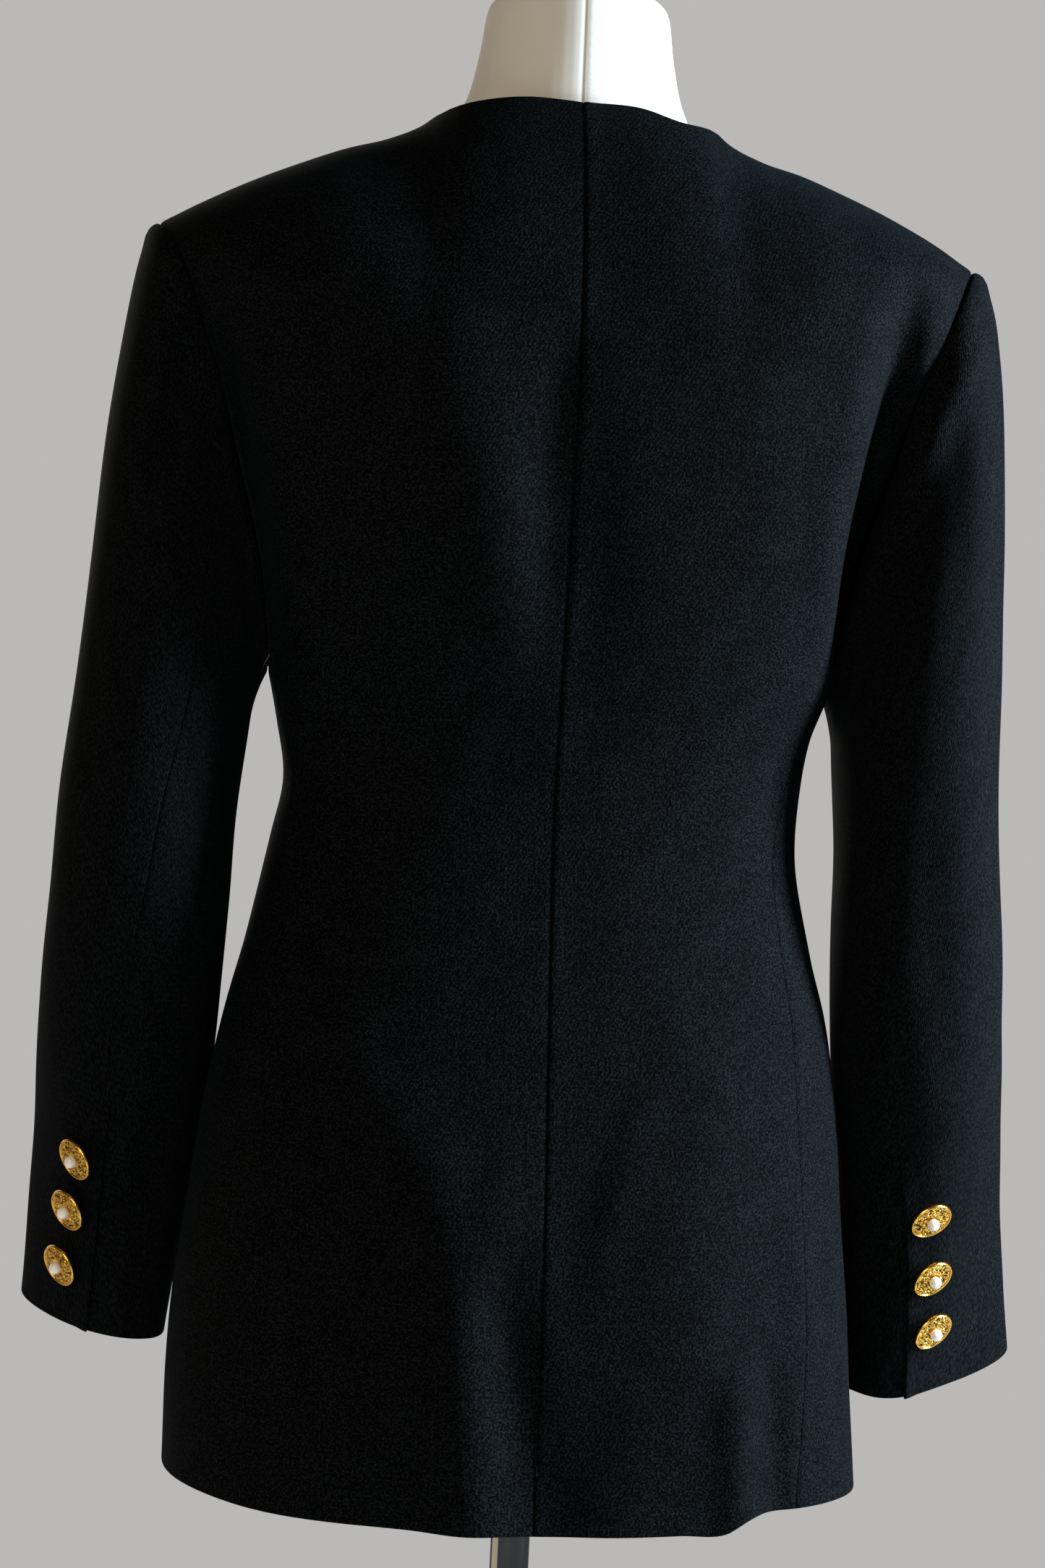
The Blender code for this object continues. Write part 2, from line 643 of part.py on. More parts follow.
def form_mesh():
    angle = 2 * np.pi * np.arange(FORM_STEPS) / FORM_STEPS
    points = form_point(np.arange(len(FORM["side_x"])), angle)
    rings = len(points)
    index = np.arange(rings * FORM_STEPS).reshape(rings, FORM_STEPS)
    beside = np.roll(index, -1, axis=1)
    quads = np.stack([index[:-1], index[1:], beside[1:], beside[:-1]], -1).reshape(-1, 4)
    faces = quads.tolist() + [index[0].tolist(), index[-1][::-1].tolist()]
    mesh = bpy.data.meshes.new("dress_form")
    mesh.from_pydata(points.reshape(-1, 3).tolist(), [], faces)
    return mesh


def turned(name, profile, steps, finish, collection, place=None):
    """A turned piece: its profile runs down from the axis at the top to the axis below."""
    mesh = bpy.data.meshes.new(name)
    points = [(radius, 0.0, height) for radius, height in profile]
    mesh.from_pydata(points, [(i, i + 1) for i in range(len(points) - 1)], [])
    made = add_object(name, mesh, finish, collection, place)
    screw = made.modifiers.new("turn", "SCREW")
    screw.axis = "Z"
    screw.steps = steps
    screw.render_steps = steps
    screw.use_merge_vertices = True
    screw.merge_threshold = 0.00005
    screw.use_smooth_shade = True
    return made


def button_profile():
    """Button on its shank: a cup for the pearl, a dished face, a rim and the plain back."""
    top = BUTTON_STAND + BUTTON_DISH
    return [
        (0.0, top - CUP_DEPTH),
        (PEARL_RADIUS * 0.8, top - CUP_DEPTH * 0.75),
        (PEARL_RADIUS * 1.3, top),
        (BUTTON_RADIUS * 0.85, top - BUTTON_DISH * 0.13),
        (BUTTON_RADIUS, top - BUTTON_DISH * 0.33),
        (BUTTON_RADIUS * 0.95, BUTTON_STAND),
        (SHANK_RADIUS * 1.1, BUTTON_STAND - BUTTON_DISH * 0.13),
        (SHANK_RADIUS, REST_GAP),
        (0.0, REST_GAP),
    ]


def pearl_profile():
    """Pearl seated in the button's cup, just clear of it."""
    centre = BUTTON_STAND + BUTTON_DISH - CUP_DEPTH + REST_GAP + PEARL_RADIUS
    turns = np.radians([90, 50, 15, -20, -55, -90])
    return [
        (PEARL_RADIUS * max(np.cos(t), 0.0), centre + PEARL_RADIUS * np.sin(t)) for t in turns
    ]


def seat(panel, near, droop):
    """Placement of a button on a piece of cloth: upright on it, its face drooping."""
    rows, columns, _ = panel.points.shape
    index = np.arange(rows * columns).reshape(rows, columns)
    quads = np.stack(
        [index[:-1, :-1], index[:-1, 1:], index[1:, 1:], index[1:, :-1]], -1
    ).reshape(-1, 4)
    cloth = BVHTree.FromPolygons(panel.points.reshape(-1, 3).tolist(), quads.tolist())
    point, out, _, _ = cloth.find_nearest(Vector(near))
    if out.dot(Vector(panel.out[rows // 2, columns // 2])) < 0:
        out = -out
    sideways = out.cross(Vector((0.0, 0.0, 1.0))).normalized()
    axis = Matrix.Rotation(radians(-droop), 3, sideways) @ out
    point = point + out * (BUTTON_LIFT if droop else 0.0)
    return Matrix.Translation(point) @ axis.to_track_quat("Z", "Y").to_matrix().to_4x4()


def cuff_button_seats(side, panel):
    """Seats down the top sleeve, beside the elbow seam."""
    seats = []
    for z, beside in zip(*CUFF_BUTTONS[side].values()):
        turn = np.radians(look(SLEEVES[side], "elbow", z) - beside)
        level = 2 * z - sleeve_point(side, turn, z)[2]
        seats.append(seat(panel, sleeve_point(side, turn, level), BUTTON_DROOP[side]))
    return seats


def front_button_seats(panel):
    """Seats down the centre line of the upper front."""
    return [seat(panel, body_point("right", np.pi, z), 0.0) for z in FRONT_BUTTON_Z]


def add_buttons(panels, collection):
    pieces = {panel.name: panel for panel in panels}
    places = {}
    for side in SIGN:
        seats = cuff_button_seats(side, pieces["top_sleeve_" + side])
        places.update({f"{side}_cuff_{i}": place for i, place in enumerate(seats, 1)})
    seats = front_button_seats(pieces["front_right"])
    places.update({f"front_{i}": place for i, place in enumerate(seats, 1)})
    for name, place in places.items():
        turned("button_" + name, button_profile(), BUTTON_STEPS, "gold", collection, place)
        turned("pearl_" + name, pearl_profile(), PEARL_STEPS, "pearl", collection, place)


def add_stand(collection):
    foot = BASE_HEIGHT + REST_GAP
    top = FORM_FOOT_Z - REST_GAP
    pole = [(0.0, top), (POLE_RADIUS, top), (POLE_RADIUS, foot), (0.0, foot)]
    turned("pole", pole, 24, "chrome", collection)
    edge = 0.003
    base = [
        (0.0, BASE_HEIGHT),
        (BASE_RADIUS - edge * 2, BASE_HEIGHT - edge * 0.5),
        (BASE_RADIUS - edge * 0.5, BASE_HEIGHT - edge * 1.5),
        (BASE_RADIUS, BASE_HEIGHT - edge * 2.8),
        (BASE_RADIUS - edge * 0.3, 0.0),
        (0.0, 0.0),
    ]
    turned("base", base, 48, "chrome", collection)


def main():
    for old in list(bpy.data.objects):
        bpy.data.objects.remove(old, do_unlink=True)
    collection = bpy.data.collections.new("cocktail_jacket_on_dress_form")
    bpy.context.scene.collection.children.link(collection)
    panels = jacket_panels()
    for panel in panels:
        add_object(panel.name, wall_mesh(panel), "wool", collection)
    add_buttons(panels, collection)
    add_object("dress_form", form_mesh(), "jersey", collection)
    add_stand(collection)
    for finish in FINISHES:
        spare = bpy.data.materials.get(finish)
        if spare:
            bpy.data.materials.remove(spare)


main()
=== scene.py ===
import bpy
import numpy as np
from mathutils import Matrix, Vector
from mathutils.bvhtree import BVHTree


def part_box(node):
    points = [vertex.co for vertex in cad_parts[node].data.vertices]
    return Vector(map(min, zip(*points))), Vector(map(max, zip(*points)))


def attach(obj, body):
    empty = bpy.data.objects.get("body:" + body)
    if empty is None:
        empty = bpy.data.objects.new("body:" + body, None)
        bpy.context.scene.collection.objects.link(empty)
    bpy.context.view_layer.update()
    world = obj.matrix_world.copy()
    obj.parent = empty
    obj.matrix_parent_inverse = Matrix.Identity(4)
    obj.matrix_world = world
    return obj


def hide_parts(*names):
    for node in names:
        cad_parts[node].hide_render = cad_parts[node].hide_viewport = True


# Collarless black wool cocktail jacket, worn on a limbless dress form on its stand.
# Metres, +Z up. The jacket faces -Y and the wearer's left is +X.

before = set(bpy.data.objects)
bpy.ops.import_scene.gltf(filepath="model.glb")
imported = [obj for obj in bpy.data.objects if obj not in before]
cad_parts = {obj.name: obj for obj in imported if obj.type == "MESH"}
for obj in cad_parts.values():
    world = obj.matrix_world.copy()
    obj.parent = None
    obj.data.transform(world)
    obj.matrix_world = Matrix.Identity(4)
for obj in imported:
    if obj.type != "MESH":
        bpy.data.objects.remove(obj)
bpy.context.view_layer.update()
print("frame loaded,", len(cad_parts), "nodes")


# ---- small helpers

def table(columns, *rows):
    # named columns from rows of numbers
    return dict(zip(columns.split(), np.array(rows, float).T))


def unit(vectors):
    return vectors / np.linalg.norm(vectors, axis=-1, keepdims=True)


def softStep(t):
    # 0 below 0, 1 above 1, three t squared less two t cubed between
    t = np.clip(t, 0.0, 1.0)
    return t * t * (3 - 2 * t)


def bell(distance, width):
    return np.exp(-((distance / width) ** 2))


def spread(x, y, z):
    # points from coordinates that together span a grid
    return np.stack(np.broadcast_arrays(x, y, z), -1)


def signedPower(values, exponent):
    return np.sign(values) * np.abs(values) ** exponent


def curve(x, xs, ys):
    # a cubic between each two rows, whose slopes are the table's own gradients
    slopes = np.gradient(ys, xs)
    x = np.clip(x, xs[0], xs[-1])
    i = np.clip(np.searchsorted(xs, x, side="right") - 1, 0, len(xs) - 2)
    step = xs[i + 1] - xs[i]
    t = (x - xs[i]) / step
    start = (2 * t**3 - 3 * t**2 + 1) * ys[i] + (t**3 - 2 * t**2 + t) * step * slopes[i]
    end = (3 * t**2 - 2 * t**3) * ys[i + 1] + (t**3 - t**2) * step * slopes[i + 1]
    return start + end


def look(sheet, name, at, key="z"):
    return curve(at, sheet[key], sheet[name])


def linearColour(hexText):
    # sRGB hex to linear red, green, blue and alpha
    parts = [int(hexText[i : i + 2], 16) / 255 for i in (1, 3, 5)]
    linear = [p / 12.92 if p <= 0.04045 else ((p + 0.055) / 1.055) ** 2.4 for p in parts]
    return (*linear, 1.0)


def mixEnds(*hexTexts):
    # the two colours that a colour Mix node goes between, by its sockets
    return dict(zip((6, 7), map(linearColour, hexTexts)))


def fromTo(way, ends):
    # the low and high end of a Map Range node's "From" or "To" range
    return dict(zip((way + " Min", way + " Max"), ends))


def join(tree, node, settings, links):
    # sets a node's sockets and links others; a node as a source stands for its first output
    for socket, value in (settings or {}).items():
        node.inputs[socket].default_value = value
    for socket, source in (links or {}).items():
        tree.links.new(getattr(source, "outputs", [source])[0], node.inputs[socket])


def addNode(tree, kind, settings=None, links=None, **fields):
    # one shader node with its fields, socket values and incoming links
    node = tree.nodes.new("ShaderNode" + kind)
    for field, value in fields.items():
        setattr(node, field, value)
    join(tree, node, settings, links)
    return node


def newMaterial(name):
    made = bpy.data.materials.new(name)
    made.use_nodes = True
    return made, made.node_tree


def finishMaterial(made, settings, links=None):
    # even values are set on the Principled shader's own sockets, and the rest linked
    shader = made.node_tree.nodes["Principled BSDF"]
    join(made.node_tree, shader, settings, links)
    return made


def makePiece(name, points, faces, materials, slots=None, uv=None, shade=None):
    # a smooth-shaded mesh object at the origin; faces are arrays of quads or of triangles
    mesh = bpy.data.meshes.new(name)
    corners = np.concatenate([part.ravel() for part in faces]).astype(np.int32)
    sides = np.concatenate([np.full(len(part), part.shape[1], np.int32) for part in faces])
    mesh.vertices.add(len(points))
    mesh.vertices.foreach_set("co", np.asarray(points, np.float32).ravel())
    mesh.loops.add(len(corners))
    mesh.loops.foreach_set("vertex_index", corners)
    mesh.polygons.add(len(sides))
    mesh.polygons.foreach_set("loop_start", np.cumsum(sides, dtype=np.int32) - sides)
    mesh.update(calc_edges=True)
    mesh.polygons.foreach_set("use_smooth", np.ones(len(sides), bool))
    if slots is not None:
        mesh.polygons.foreach_set("material_index", np.asarray(slots, np.int32))
    if uv is not None:
        layer = mesh.uv_layers.new(name="cloth")
        layer.data.foreach_set("uv", np.asarray(uv, np.float32)[corners].ravel())
    # a painted shade for each point, which the gold's colour reads
    if shade is not None:
        layer = mesh.attributes.new("shade", "FLOAT", "POINT")
        layer.data.foreach_set("value", np.asarray(shade, np.float32))
    mesh.validate()
    for material in materials:
        mesh.materials.append(material)
    piece = bpy.data.objects.new(name, mesh)
    bpy.context.scene.collection.objects.link(piece)
    return piece


def gridQuads(rows, columns, closed=False):
    # quads between neighbouring points of a grid, or of rings
    index = np.arange(rows * columns).reshape(rows, columns)
    if closed:
        index = np.concatenate([index, index[:, :1]], axis=1)
    quads = np.stack([index[:-1, :-1], index[:-1, 1:], index[1:, 1:], index[1:, :-1]], -1)
    return quads.reshape(-1, 4)


def addHolder(name, data, place, turn):
    # a light's or camera's object, at its place and turned
    holder = bpy.data.objects.new(name, data)
    holder.matrix_world = Matrix.Translation(place) @ turn.to_4x4()
    bpy.context.scene.collection.objects.link(holder)
    return holder


def standIn(piece, node):
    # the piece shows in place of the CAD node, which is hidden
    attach(piece, "root")
    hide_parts(node)


# ---- camera, at the photograph's viewing angle

camera = {
    "place": (0.158, 1.806, 1.025),
    "yaw": 4.63,
    "pitch": 1.47,
    "roll": 2.58,
    "focalPixels": 4600.0,
    "frameHeight": 2168,
    "sensor": 36.0,
    "farthest": 50.0,
}


def addCamera():
    # looks along (-sin yaw cos pitch, -cos yaw cos pitch, sin pitch), then rolls
    yaw, pitch, roll = np.radians([camera["yaw"], camera["pitch"], camera["roll"]])
    flat = np.cos(pitch)
    ahead = np.array([-np.sin(yaw) * flat, -np.cos(yaw) * flat, np.sin(pitch)])
    level = unit(np.cross(ahead, [0.0, 0.0, 1.0]))
    up = np.cross(level, ahead)
    right = np.cos(roll) * level + np.sin(roll) * up
    over = np.cos(roll) * up - np.sin(roll) * level
    made = bpy.data.cameras.new("camera")
    made.sensor_fit = "VERTICAL"
    made.sensor_height = camera["sensor"]
    made.lens = camera["sensor"] * camera["focalPixels"] / camera["frameHeight"]
    made.clip_end = camera["farthest"]
    turn = Matrix([right, over, -ahead]).transposed()
    bpy.context.scene.camera = addHolder("camera", made, camera["place"], turn)


addCamera()
print("camera set")


# ---- shape of the jacket: its tables, the same as the solids' own

jacket = {
    "wall": 0.0018,          # the cloth with its lining
    "edgeWall": 0.0027,      # where hem, cuff and neckline are turned back
    "frontEdgeWall": 0.0020,
    "seamGap": 0.00002,
    "hemZ": 0.691,
    "hemEase": 0.110,
    "underarmZ": 1.128,
    "underarmRise": 0.008,
    "bicepsZ": 1.100,
    "neckPointX": 0.082,
    "breakZ": 1.190,
    "lapStep": 0.0026,
    "lapReach": 0.024,
    "lapFade": 0.030,
    "lapTop": 0.030,
    "pitch": 0.0034,         # how far apart the grid's lines lie
    "lowRows": 10,
    "highRows": 12,
    "neckColumns": 4,
    "shoulderColumns": 8,
    "elbowRow": 13.0,
    "frontSeamRow": 12.0,
}
sideSign = {"left": 1.0, "right": -1.0}

bodySections = table(
    "z left right back front square",
    (0.691, 0.190, 0.1830, 0.141, 0.124, 2.4),
    (0.750, 0.190, 0.1790, 0.140, 0.122, 2.4),
    (0.800, 0.188, 0.1745, 0.135, 0.120, 2.4),
    (0.850, 0.182, 0.1695, 0.127, 0.117, 2.4),
    (0.905, 0.175, 0.1650, 0.112, 0.112, 2.4),
    (0.950, 0.167, 0.1580, 0.099, 0.107, 2.4),
    (0.985, 0.158, 0.1490, 0.089, 0.103, 2.4),
    (1.040, 0.1465, 0.138, 0.079, 0.099, 2.4),
    (1.068, 0.142, 0.1385, 0.079, 0.100, 2.4),
    (1.100, 0.147, 0.1430, 0.084, 0.106, 2.5),
    (1.130, 0.153, 0.1530, 0.092, 0.116, 2.7),
    (1.170, 0.161, 0.1610, 0.101, 0.128, 2.9),
    (1.210, 0.171, 0.1700, 0.109, 0.130, 3.0),
    (1.250, 0.184, 0.1840, 0.114, 0.126, 3.0),
    (1.300, 0.203, 0.2030, 0.116, 0.116, 3.0),
    (1.370, 0.235, 0.2350, 0.114, 0.098, 3.0),
    (1.440, 0.262, 0.2620, 0.112, 0.084, 3.0),
)
shoulderRidge = table(
    "x z round",
    (0.000, 1.463, 0.200),
    (0.045, 1.455, 0.180),
    (0.065, 1.4435, 0.165),
    (0.082, 1.4270, 0.150),
    (0.100, 1.4180, 0.130),
    (0.123, 1.4110, 0.115),
    (0.150, 1.4003, 0.100),
    (0.172, 1.3906, 0.086),
    (0.200, 1.3765, 0.068),
    (0.2225, 1.3640, 0.058),
)
backNeckline = table(
    "x left right",
    (0.000, 1.4335, 1.4335),
    (0.030, 1.4355, 1.4325),
    (0.055, 1.4330, 1.4255),
    (0.082, 1.4270, 1.4270),
)
hemRise = table(
    "x rise",
    (-0.200, 0.0105),
    (-0.160, 0.0118),
    (-0.128, 0.0110),
    (-0.110, 0.0085),
    (-0.098, 0.0025),
    (-0.075, 0.0018),
    (-0.030, 0.0008),
    (0.080, 0.0018),
    (0.150, 0.0045),
    (0.175, 0.0075),
    (0.200, 0.0110),
)
frontEdge = table(
    "z x",
    (1.180, -0.018),
    (1.200, -0.014),
    (1.250, 0.010),
    (1.320, 0.041),
    (1.380, 0.066),
    (1.427, 0.082),
)
armholeLine = table(
    "z back front",
    (1.1360, 0.1530, 0.1530),
    (1.1650, 0.1575, 0.1570),
    (1.2000, 0.1660, 0.1640),
    (1.2450, 0.1778, 0.1720),
    (1.2800, 0.1865, 0.1795),
    (1.3000, 0.1935, 0.1860),
    (1.3200, 0.2005, 0.1940),
    (1.3400, 0.2085, 0.2040),
    (1.3550, 0.2160, 0.2140),
    (1.3640, 0.2225, 0.2225),
)
sideSeams = table(
    "z back_left back_right front",
    (0.691, 0.734, 0.754, 0.860),
    (0.790, 0.738, 0.797, 0.850),
    (0.850, 0.747, 0.807, 0.850),
    (0.910, 0.770, 0.815, 0.860),
    (0.950, 0.815, 0.830, 0.870),
    (1.000, 0.880, 0.850, 0.890),
    (1.045, 0.940, 0.875, 0.915),
    (1.080, 0.965, 0.915, 0.950),
    (1.110, 0.982, 0.960, 0.975),
    (1.136, 0.990, 0.990, 0.990),
)
largeFolds = table(
    "x_top z_top x_low z_low half_width height",
    (-0.175, 1.330, -0.155, 1.150, 0.012, -0.026),
    (0.200, 1.330, 0.157, 1.150, 0.013, -0.013),
    (-0.103, 0.780, -0.107, 0.680, 0.013, 0.006),
    (-0.119, 0.775, -0.124, 0.680, 0.011, -0.007),
    (0.062, 0.900, 0.030, 0.680, 0.020, 0.006),
    (0.028, 0.830, 0.000, 0.700, 0.016, -0.004),
)
sleeveSections = {
    "left": table(
        "z x y long short facing elbow front slope_y slope_x square",
        (0.7685, 0.2340, -0.0705, 0.0540, 0.0325, 58, 134, 285, -0.12, 0.115, 2.2),
        (0.850, 0.2262, -0.055, 0.0525, 0.0395, 65, 147, 288, -0.24, 0.05, 2.5),
        (0.930, 0.2200, -0.026, 0.0570, 0.0475, 78, 166, 297, -0.14, 0.00, 2.3),
        (1.000, 0.2165, -0.007, 0.0600, 0.0485, 86, 180, 305, -0.03, 0.00, 2.2),
        (1.050, 0.2140, -0.001, 0.0610, 0.0480, 89, 188, 310, 0.00, 0.00, 2.2),
        (1.100, 0.2090, 0.000, 0.0620, 0.0480, 90, 195, 315, 0.00, 0.00, 2.2),
    ),
    "right": table(
        "z x y long short facing elbow front slope_y slope_x square",
        (0.7570, 0.2325, -0.0570, 0.0548, 0.0325, 36, 131, 284, -0.25, 0.10, 3.1),
        (0.850, 0.2235, -0.035, 0.0530, 0.0395, 52, 158, 300, -0.26, 0.05, 2.5),
        (0.930, 0.2140, -0.012, 0.0575, 0.0465, 72, 190, 316, -0.14, 0.00, 2.3),
        (1.000, 0.2090, -0.003, 0.0600, 0.0465, 83, 212, 332, -0.03, 0.00, 2.2),
        (1.050, 0.2060, 0.000, 0.0610, 0.0445, 88, 216, 334, 0.00, 0.00, 2.2),
        (1.100, 0.2035, 0.000, 0.0620, 0.0450, 90, 216, 334, 0.00, 0.00, 2.2),
    ),
}
sleeveHead = {
    "headReach": {"left": 0.225, "right": 0.31},
    "sideReach": 0.38,
    "bicepsReach": 0.90,
    "armholeCentreZ": 1.245,
    "fan": 0.22,
    "leaving": table(
        "place out down",
        (-1.0, 0.42, -0.92),
        (0.0, 0.72, -0.62),
        (1.0, 1.02, -0.12),
    ),
}


# ---- the smooth cut pieces

gridding = {
    "rowLength": 0.0445,     # metres to a row, a column, and the whole width of a side piece
    "columnLength": 0.0150,
    "flankLength": 0.075,
    "fineStep": 0.02,        # steps of a row at which the armhole's stretches are first drawn
    "armholeRows": (18, 6, 60),
    "sleeveRows": 150,
    "capRows": 200,
    "tubeRows": 240,
    "onward": 0.004,
    "narrow": 0.03,
}
closeLines = np.array([0.0003, 0.0007, 0.0012, 0.0019, 0.0028, 0.0042])
clearOfClose = 0.0016
underarmTop = jacket["underarmZ"] + jacket["underarmRise"]
lowRows, neckColumns = jacket["lowRows"], jacket["neckColumns"]
topRow, backColumnCount = lowRows + jacket["highRows"], neckColumns + jacket["shoulderColumns"]


def halfWidth(side, z):
    return look(bodySections, side, z)


def angleAt(side, x, z):
    # angle round a section where it is x from the centre line, 0 at the centre back
    share = np.clip(x / halfWidth(side, z), -1.0, 1.0)
    return np.arcsin(signedPower(share, look(bodySections, "square", z) / 2))


def largeFoldHeight(x, z):
    # each fold is a bell across the line between its two ends, faded at both ends
    total = np.zeros(np.broadcast(x, z).shape)
    for x0, z0, x1, z1, width, height in zip(*largeFolds.values()):
        along = np.array([x1 - x0, z1 - z0])
        length = np.linalg.norm(along)
        t = ((x - x0) * along[0] + (z - z0) * along[1]) / length**2
        across = ((x - x0) * along[1] - (z - z0) * along[0]) / length
        ends = softStep((t + 0.15) / 0.40) * softStep((1.25 - t) / 0.35)
        total = total + height * ends * bell(across, width)
    return total


def bodyPoint(side, angle, z):
    # superellipse sections, closed over the shoulder by a quarter circle's arch,
    # with the large folds behind and the hem's rise at the foot
    exponent = 2 / look(bodySections, "square", z)
    x = halfWidth(side, z) * signedPower(np.sin(angle), exponent)
    behind = np.cos(angle) > 0
    reach = np.where(behind, look(bodySections, "back", z), look(bodySections, "front", z))
    y = reach * signedPower(np.cos(angle), exponent)
    below = look(shoulderRidge, "z", np.abs(x), "x") - z
    drop = np.clip(below / look(shoulderRidge, "round", np.abs(x), "x"), 0.0, 1.0)
    y = y * np.sqrt(1 - (1 - drop) ** 2)
    worldX = sideSign[side] * x
    backShare = softStep(np.cos(angle) / 0.35) * softStep(drop / 0.30)
    y = y + backShare * largeFoldHeight(worldX, z)
    ease = np.clip(1 - (z - jacket["hemZ"]) / jacket["hemEase"], 0.0, 1.0) ** 2
    z = z + ease * look(hemRise, "rise", worldX, "x")
    return spread(worldX, y, z)


def rowLevels(r, topZ=underarmTop):
    # rows 0 to 10 climb evenly to the underarm; rows 10 to 22 slow towards the top
    low = np.clip(r / lowRows, 0.0, 1.0)
    high = np.clip((r - lowRows) / jacket["highRows"], 0.0, 1.0)
    rise = 1 - (1 - high) ** 2
    z = jacket["hemZ"] + (underarmTop - jacket["hemZ"]) * low
    return z + (topZ - underarmTop) * rise, rise


def spanGrid(r, c, columns, centre, outer, topLine):
    # rules between the centre and outer edges, and bends to the top line as it rises
    _, rise = rowLevels(r)
    across = (c / columns)[None, :, None]
    ruled = (1 - across) * centre[:, None] + across * outer[:, None]
    ends = (1 - across) * topLine[:1] + across * topLine[-1:]
    return ruled + rise[:, None, None] * (topLine[None] - ends)


def topPlaces(c):
    # places along the neckline, then evenly along the shoulder seam
    neck = jacket["neckPointX"]
    shoulder = (shoulderRidge["x"][-1] - neck) / jacket["shoulderColumns"]
    beyond = np.maximum(c - neckColumns, 0.0)
    return np.minimum(c / neckColumns, 1.0) * neck + beyond * shoulder


def outerEdge(side, r, top, seamName, armName, turn):
    # the side-back or side-front seam below the underarm, the armhole above it
    z, _ = rowLevels(r, top[-1, 1])
    seam = look(sideSeams, seamName, z) * halfWidth(side, z)
    angle = angleAt(side, np.where(r <= lowRows, seam, look(armholeLine, armName, z)), z)
    edge = np.stack([turn(angle), z], -1)
    edge[r == topRow] = top[-1]
    return edge


def panelGrid(side, r, c, front):
    # a back or a front, spanned from its middle edge to its outer one under its top line
    turn = (lambda angle: np.pi - angle) if front else (lambda angle: angle)
    x = topPlaces(c + neckColumns * front)
    z = look(shoulderRidge, "z", x, "x")
    if not front:
        z = np.where(x < jacket["neckPointX"], look(backNeckline, side, x, "x"), z)
    top = np.stack([turn(angleAt(side, x, z)), z], -1)
    middleZ, _ = rowLevels(r, z[0])
    middleX = look(frontEdge, "x", middleZ) if front else 0 * middleZ
    middle = np.stack([turn(angleAt(side, middleX, middleZ)), middleZ], -1)
    middle[r == topRow] = top[0]
    names = ("front", "front") if front else ("back_" + side, "back")
    outer = outerEdge(side, r, top, *names, turn)
    columns = backColumnCount - neckColumns * front
    grid = spanGrid(r, c, columns, middle, outer, top)
    points = bodyPoint(side, grid[..., 0], grid[..., 1])
    if front and side == "left":
        # the left front steps in under the right one's lap
        out = np.abs(points[..., 0]) - jacket["lapReach"]
        above = points[..., 2] - jacket["breakZ"] - jacket["lapTop"]
        lapped = 1 - softStep(out / jacket["lapFade"])
        lapped = lapped * (1 - softStep(above / (2 * jacket["lapFade"])))
        points[..., 1] += jacket["lapStep"] * lapped
    return points


def flankGrid(side, r, c):
    z, _ = rowLevels(r)
    half = halfWidth(side, z)
    back = angleAt(side, look(sideSeams, "back_" + side, z) * half, z)
    front = np.pi - angleAt(side, look(sideSeams, "front", z) * half, z)
    angle = back[:, None] + (front - back)[:, None] * c
    dip = jacket["underarmRise"] * (1 - (2 * c - 1) ** 2)
    share = ((z - z[0]) / (z[-1] - z[0]))[:, None] ** 3
    return bodyPoint(side, angle, z[:, None] - share * dip)


def sleevePoint(side, turn, z):
    # superellipse round the arm, turned to its facing and sloped like the cuff
    sheet = sleeveSections[side]
    row = {name: look(sheet, name, z) for name in sheet if name != "z"}
    facing = np.radians(row["facing"])
    along = row["long"] * signedPower(np.cos(turn), 2 / row["square"])
    out = row["short"] * signedPower(np.sin(turn), 2 / row["square"])
    dx = along * np.cos(facing) + out * np.sin(facing)
    dy = -along * np.sin(facing) + out * np.cos(facing)
    height = z + row["slope_y"] * dy + row["slope_x"] * dx
    x, y = row["x"] + dx, row["y"] + dy
    return spread(sideSign[side] * x, y, height)


def sleeveLevels(side, ring, z, part):
    # each column keeps the share of the way round that it has on the armhole
    steps = np.linalg.norm(np.diff(ring, axis=0), axis=1)
    share = np.concatenate([[0.0], np.cumsum(steps)]) / steps.sum()
    elbow = look(sleeveSections[side], "elbow", z)[:, None]
    front = look(sleeveSections[side], "front", z)[:, None]
    start, stop = (elbow, front - 360) if part == "top" else (front, elbow)
    return sleevePoint(side, np.radians(start + share * (stop - start)), z[:, None])


def sleeveGrid(side, ring, part):
    # cubic columns leave the armhole, turn down over the head and run to the cuff
    head, leaving = sleeveHead, sleeveHead["leaving"]
    levels = np.linspace(jacket["bicepsZ"], sleeveSections[side]["z"][0], gridding["tubeRows"])
    tube = sleeveLevels(side, ring, levels, part)
    endWay = sleeveLevels(side, ring, levels[:1] - gridding["onward"], part)[0]
    endWay = unit(endWay - tube[0])
    radial = ring - np.array([0.0, 0.0, head["armholeCentreZ"]])
    radial[:, 0] = 0.0
    radial = unit(radial)
    up = radial[:, 2]
    out, down = (np.interp(up, leaving["place"], leaving[k]) for k in ("out", "down"))
    startWay = unit(np.stack([sideSign[side] * out, head["fan"] * radial[:, 1], down], -1))
    reach = np.linalg.norm(tube[0] - ring, axis=1)[:, None]
    over = np.clip(up, 0.0, 1.0)[:, None] ** 2
    start = (head["sideReach"] + (head["headReach"][side] - head["sideReach"]) * over) * reach
    t = np.linspace(0.0, 1.0, gridding["capRows"])[:-1, None, None]
    cap = (2 * t**3 - 3 * t**2 + 1) * ring + (3 * t**2 - 2 * t**3) * tube[0]
    cap = cap + (t**3 - 2 * t**2 + t) * start * startWay
    cap = cap + (t**3 - t**2) * head["bicepsReach"] * reach * endWay
    return np.concatenate([cap, tube])


# ---- grids: even lines, and close ones beside each edge

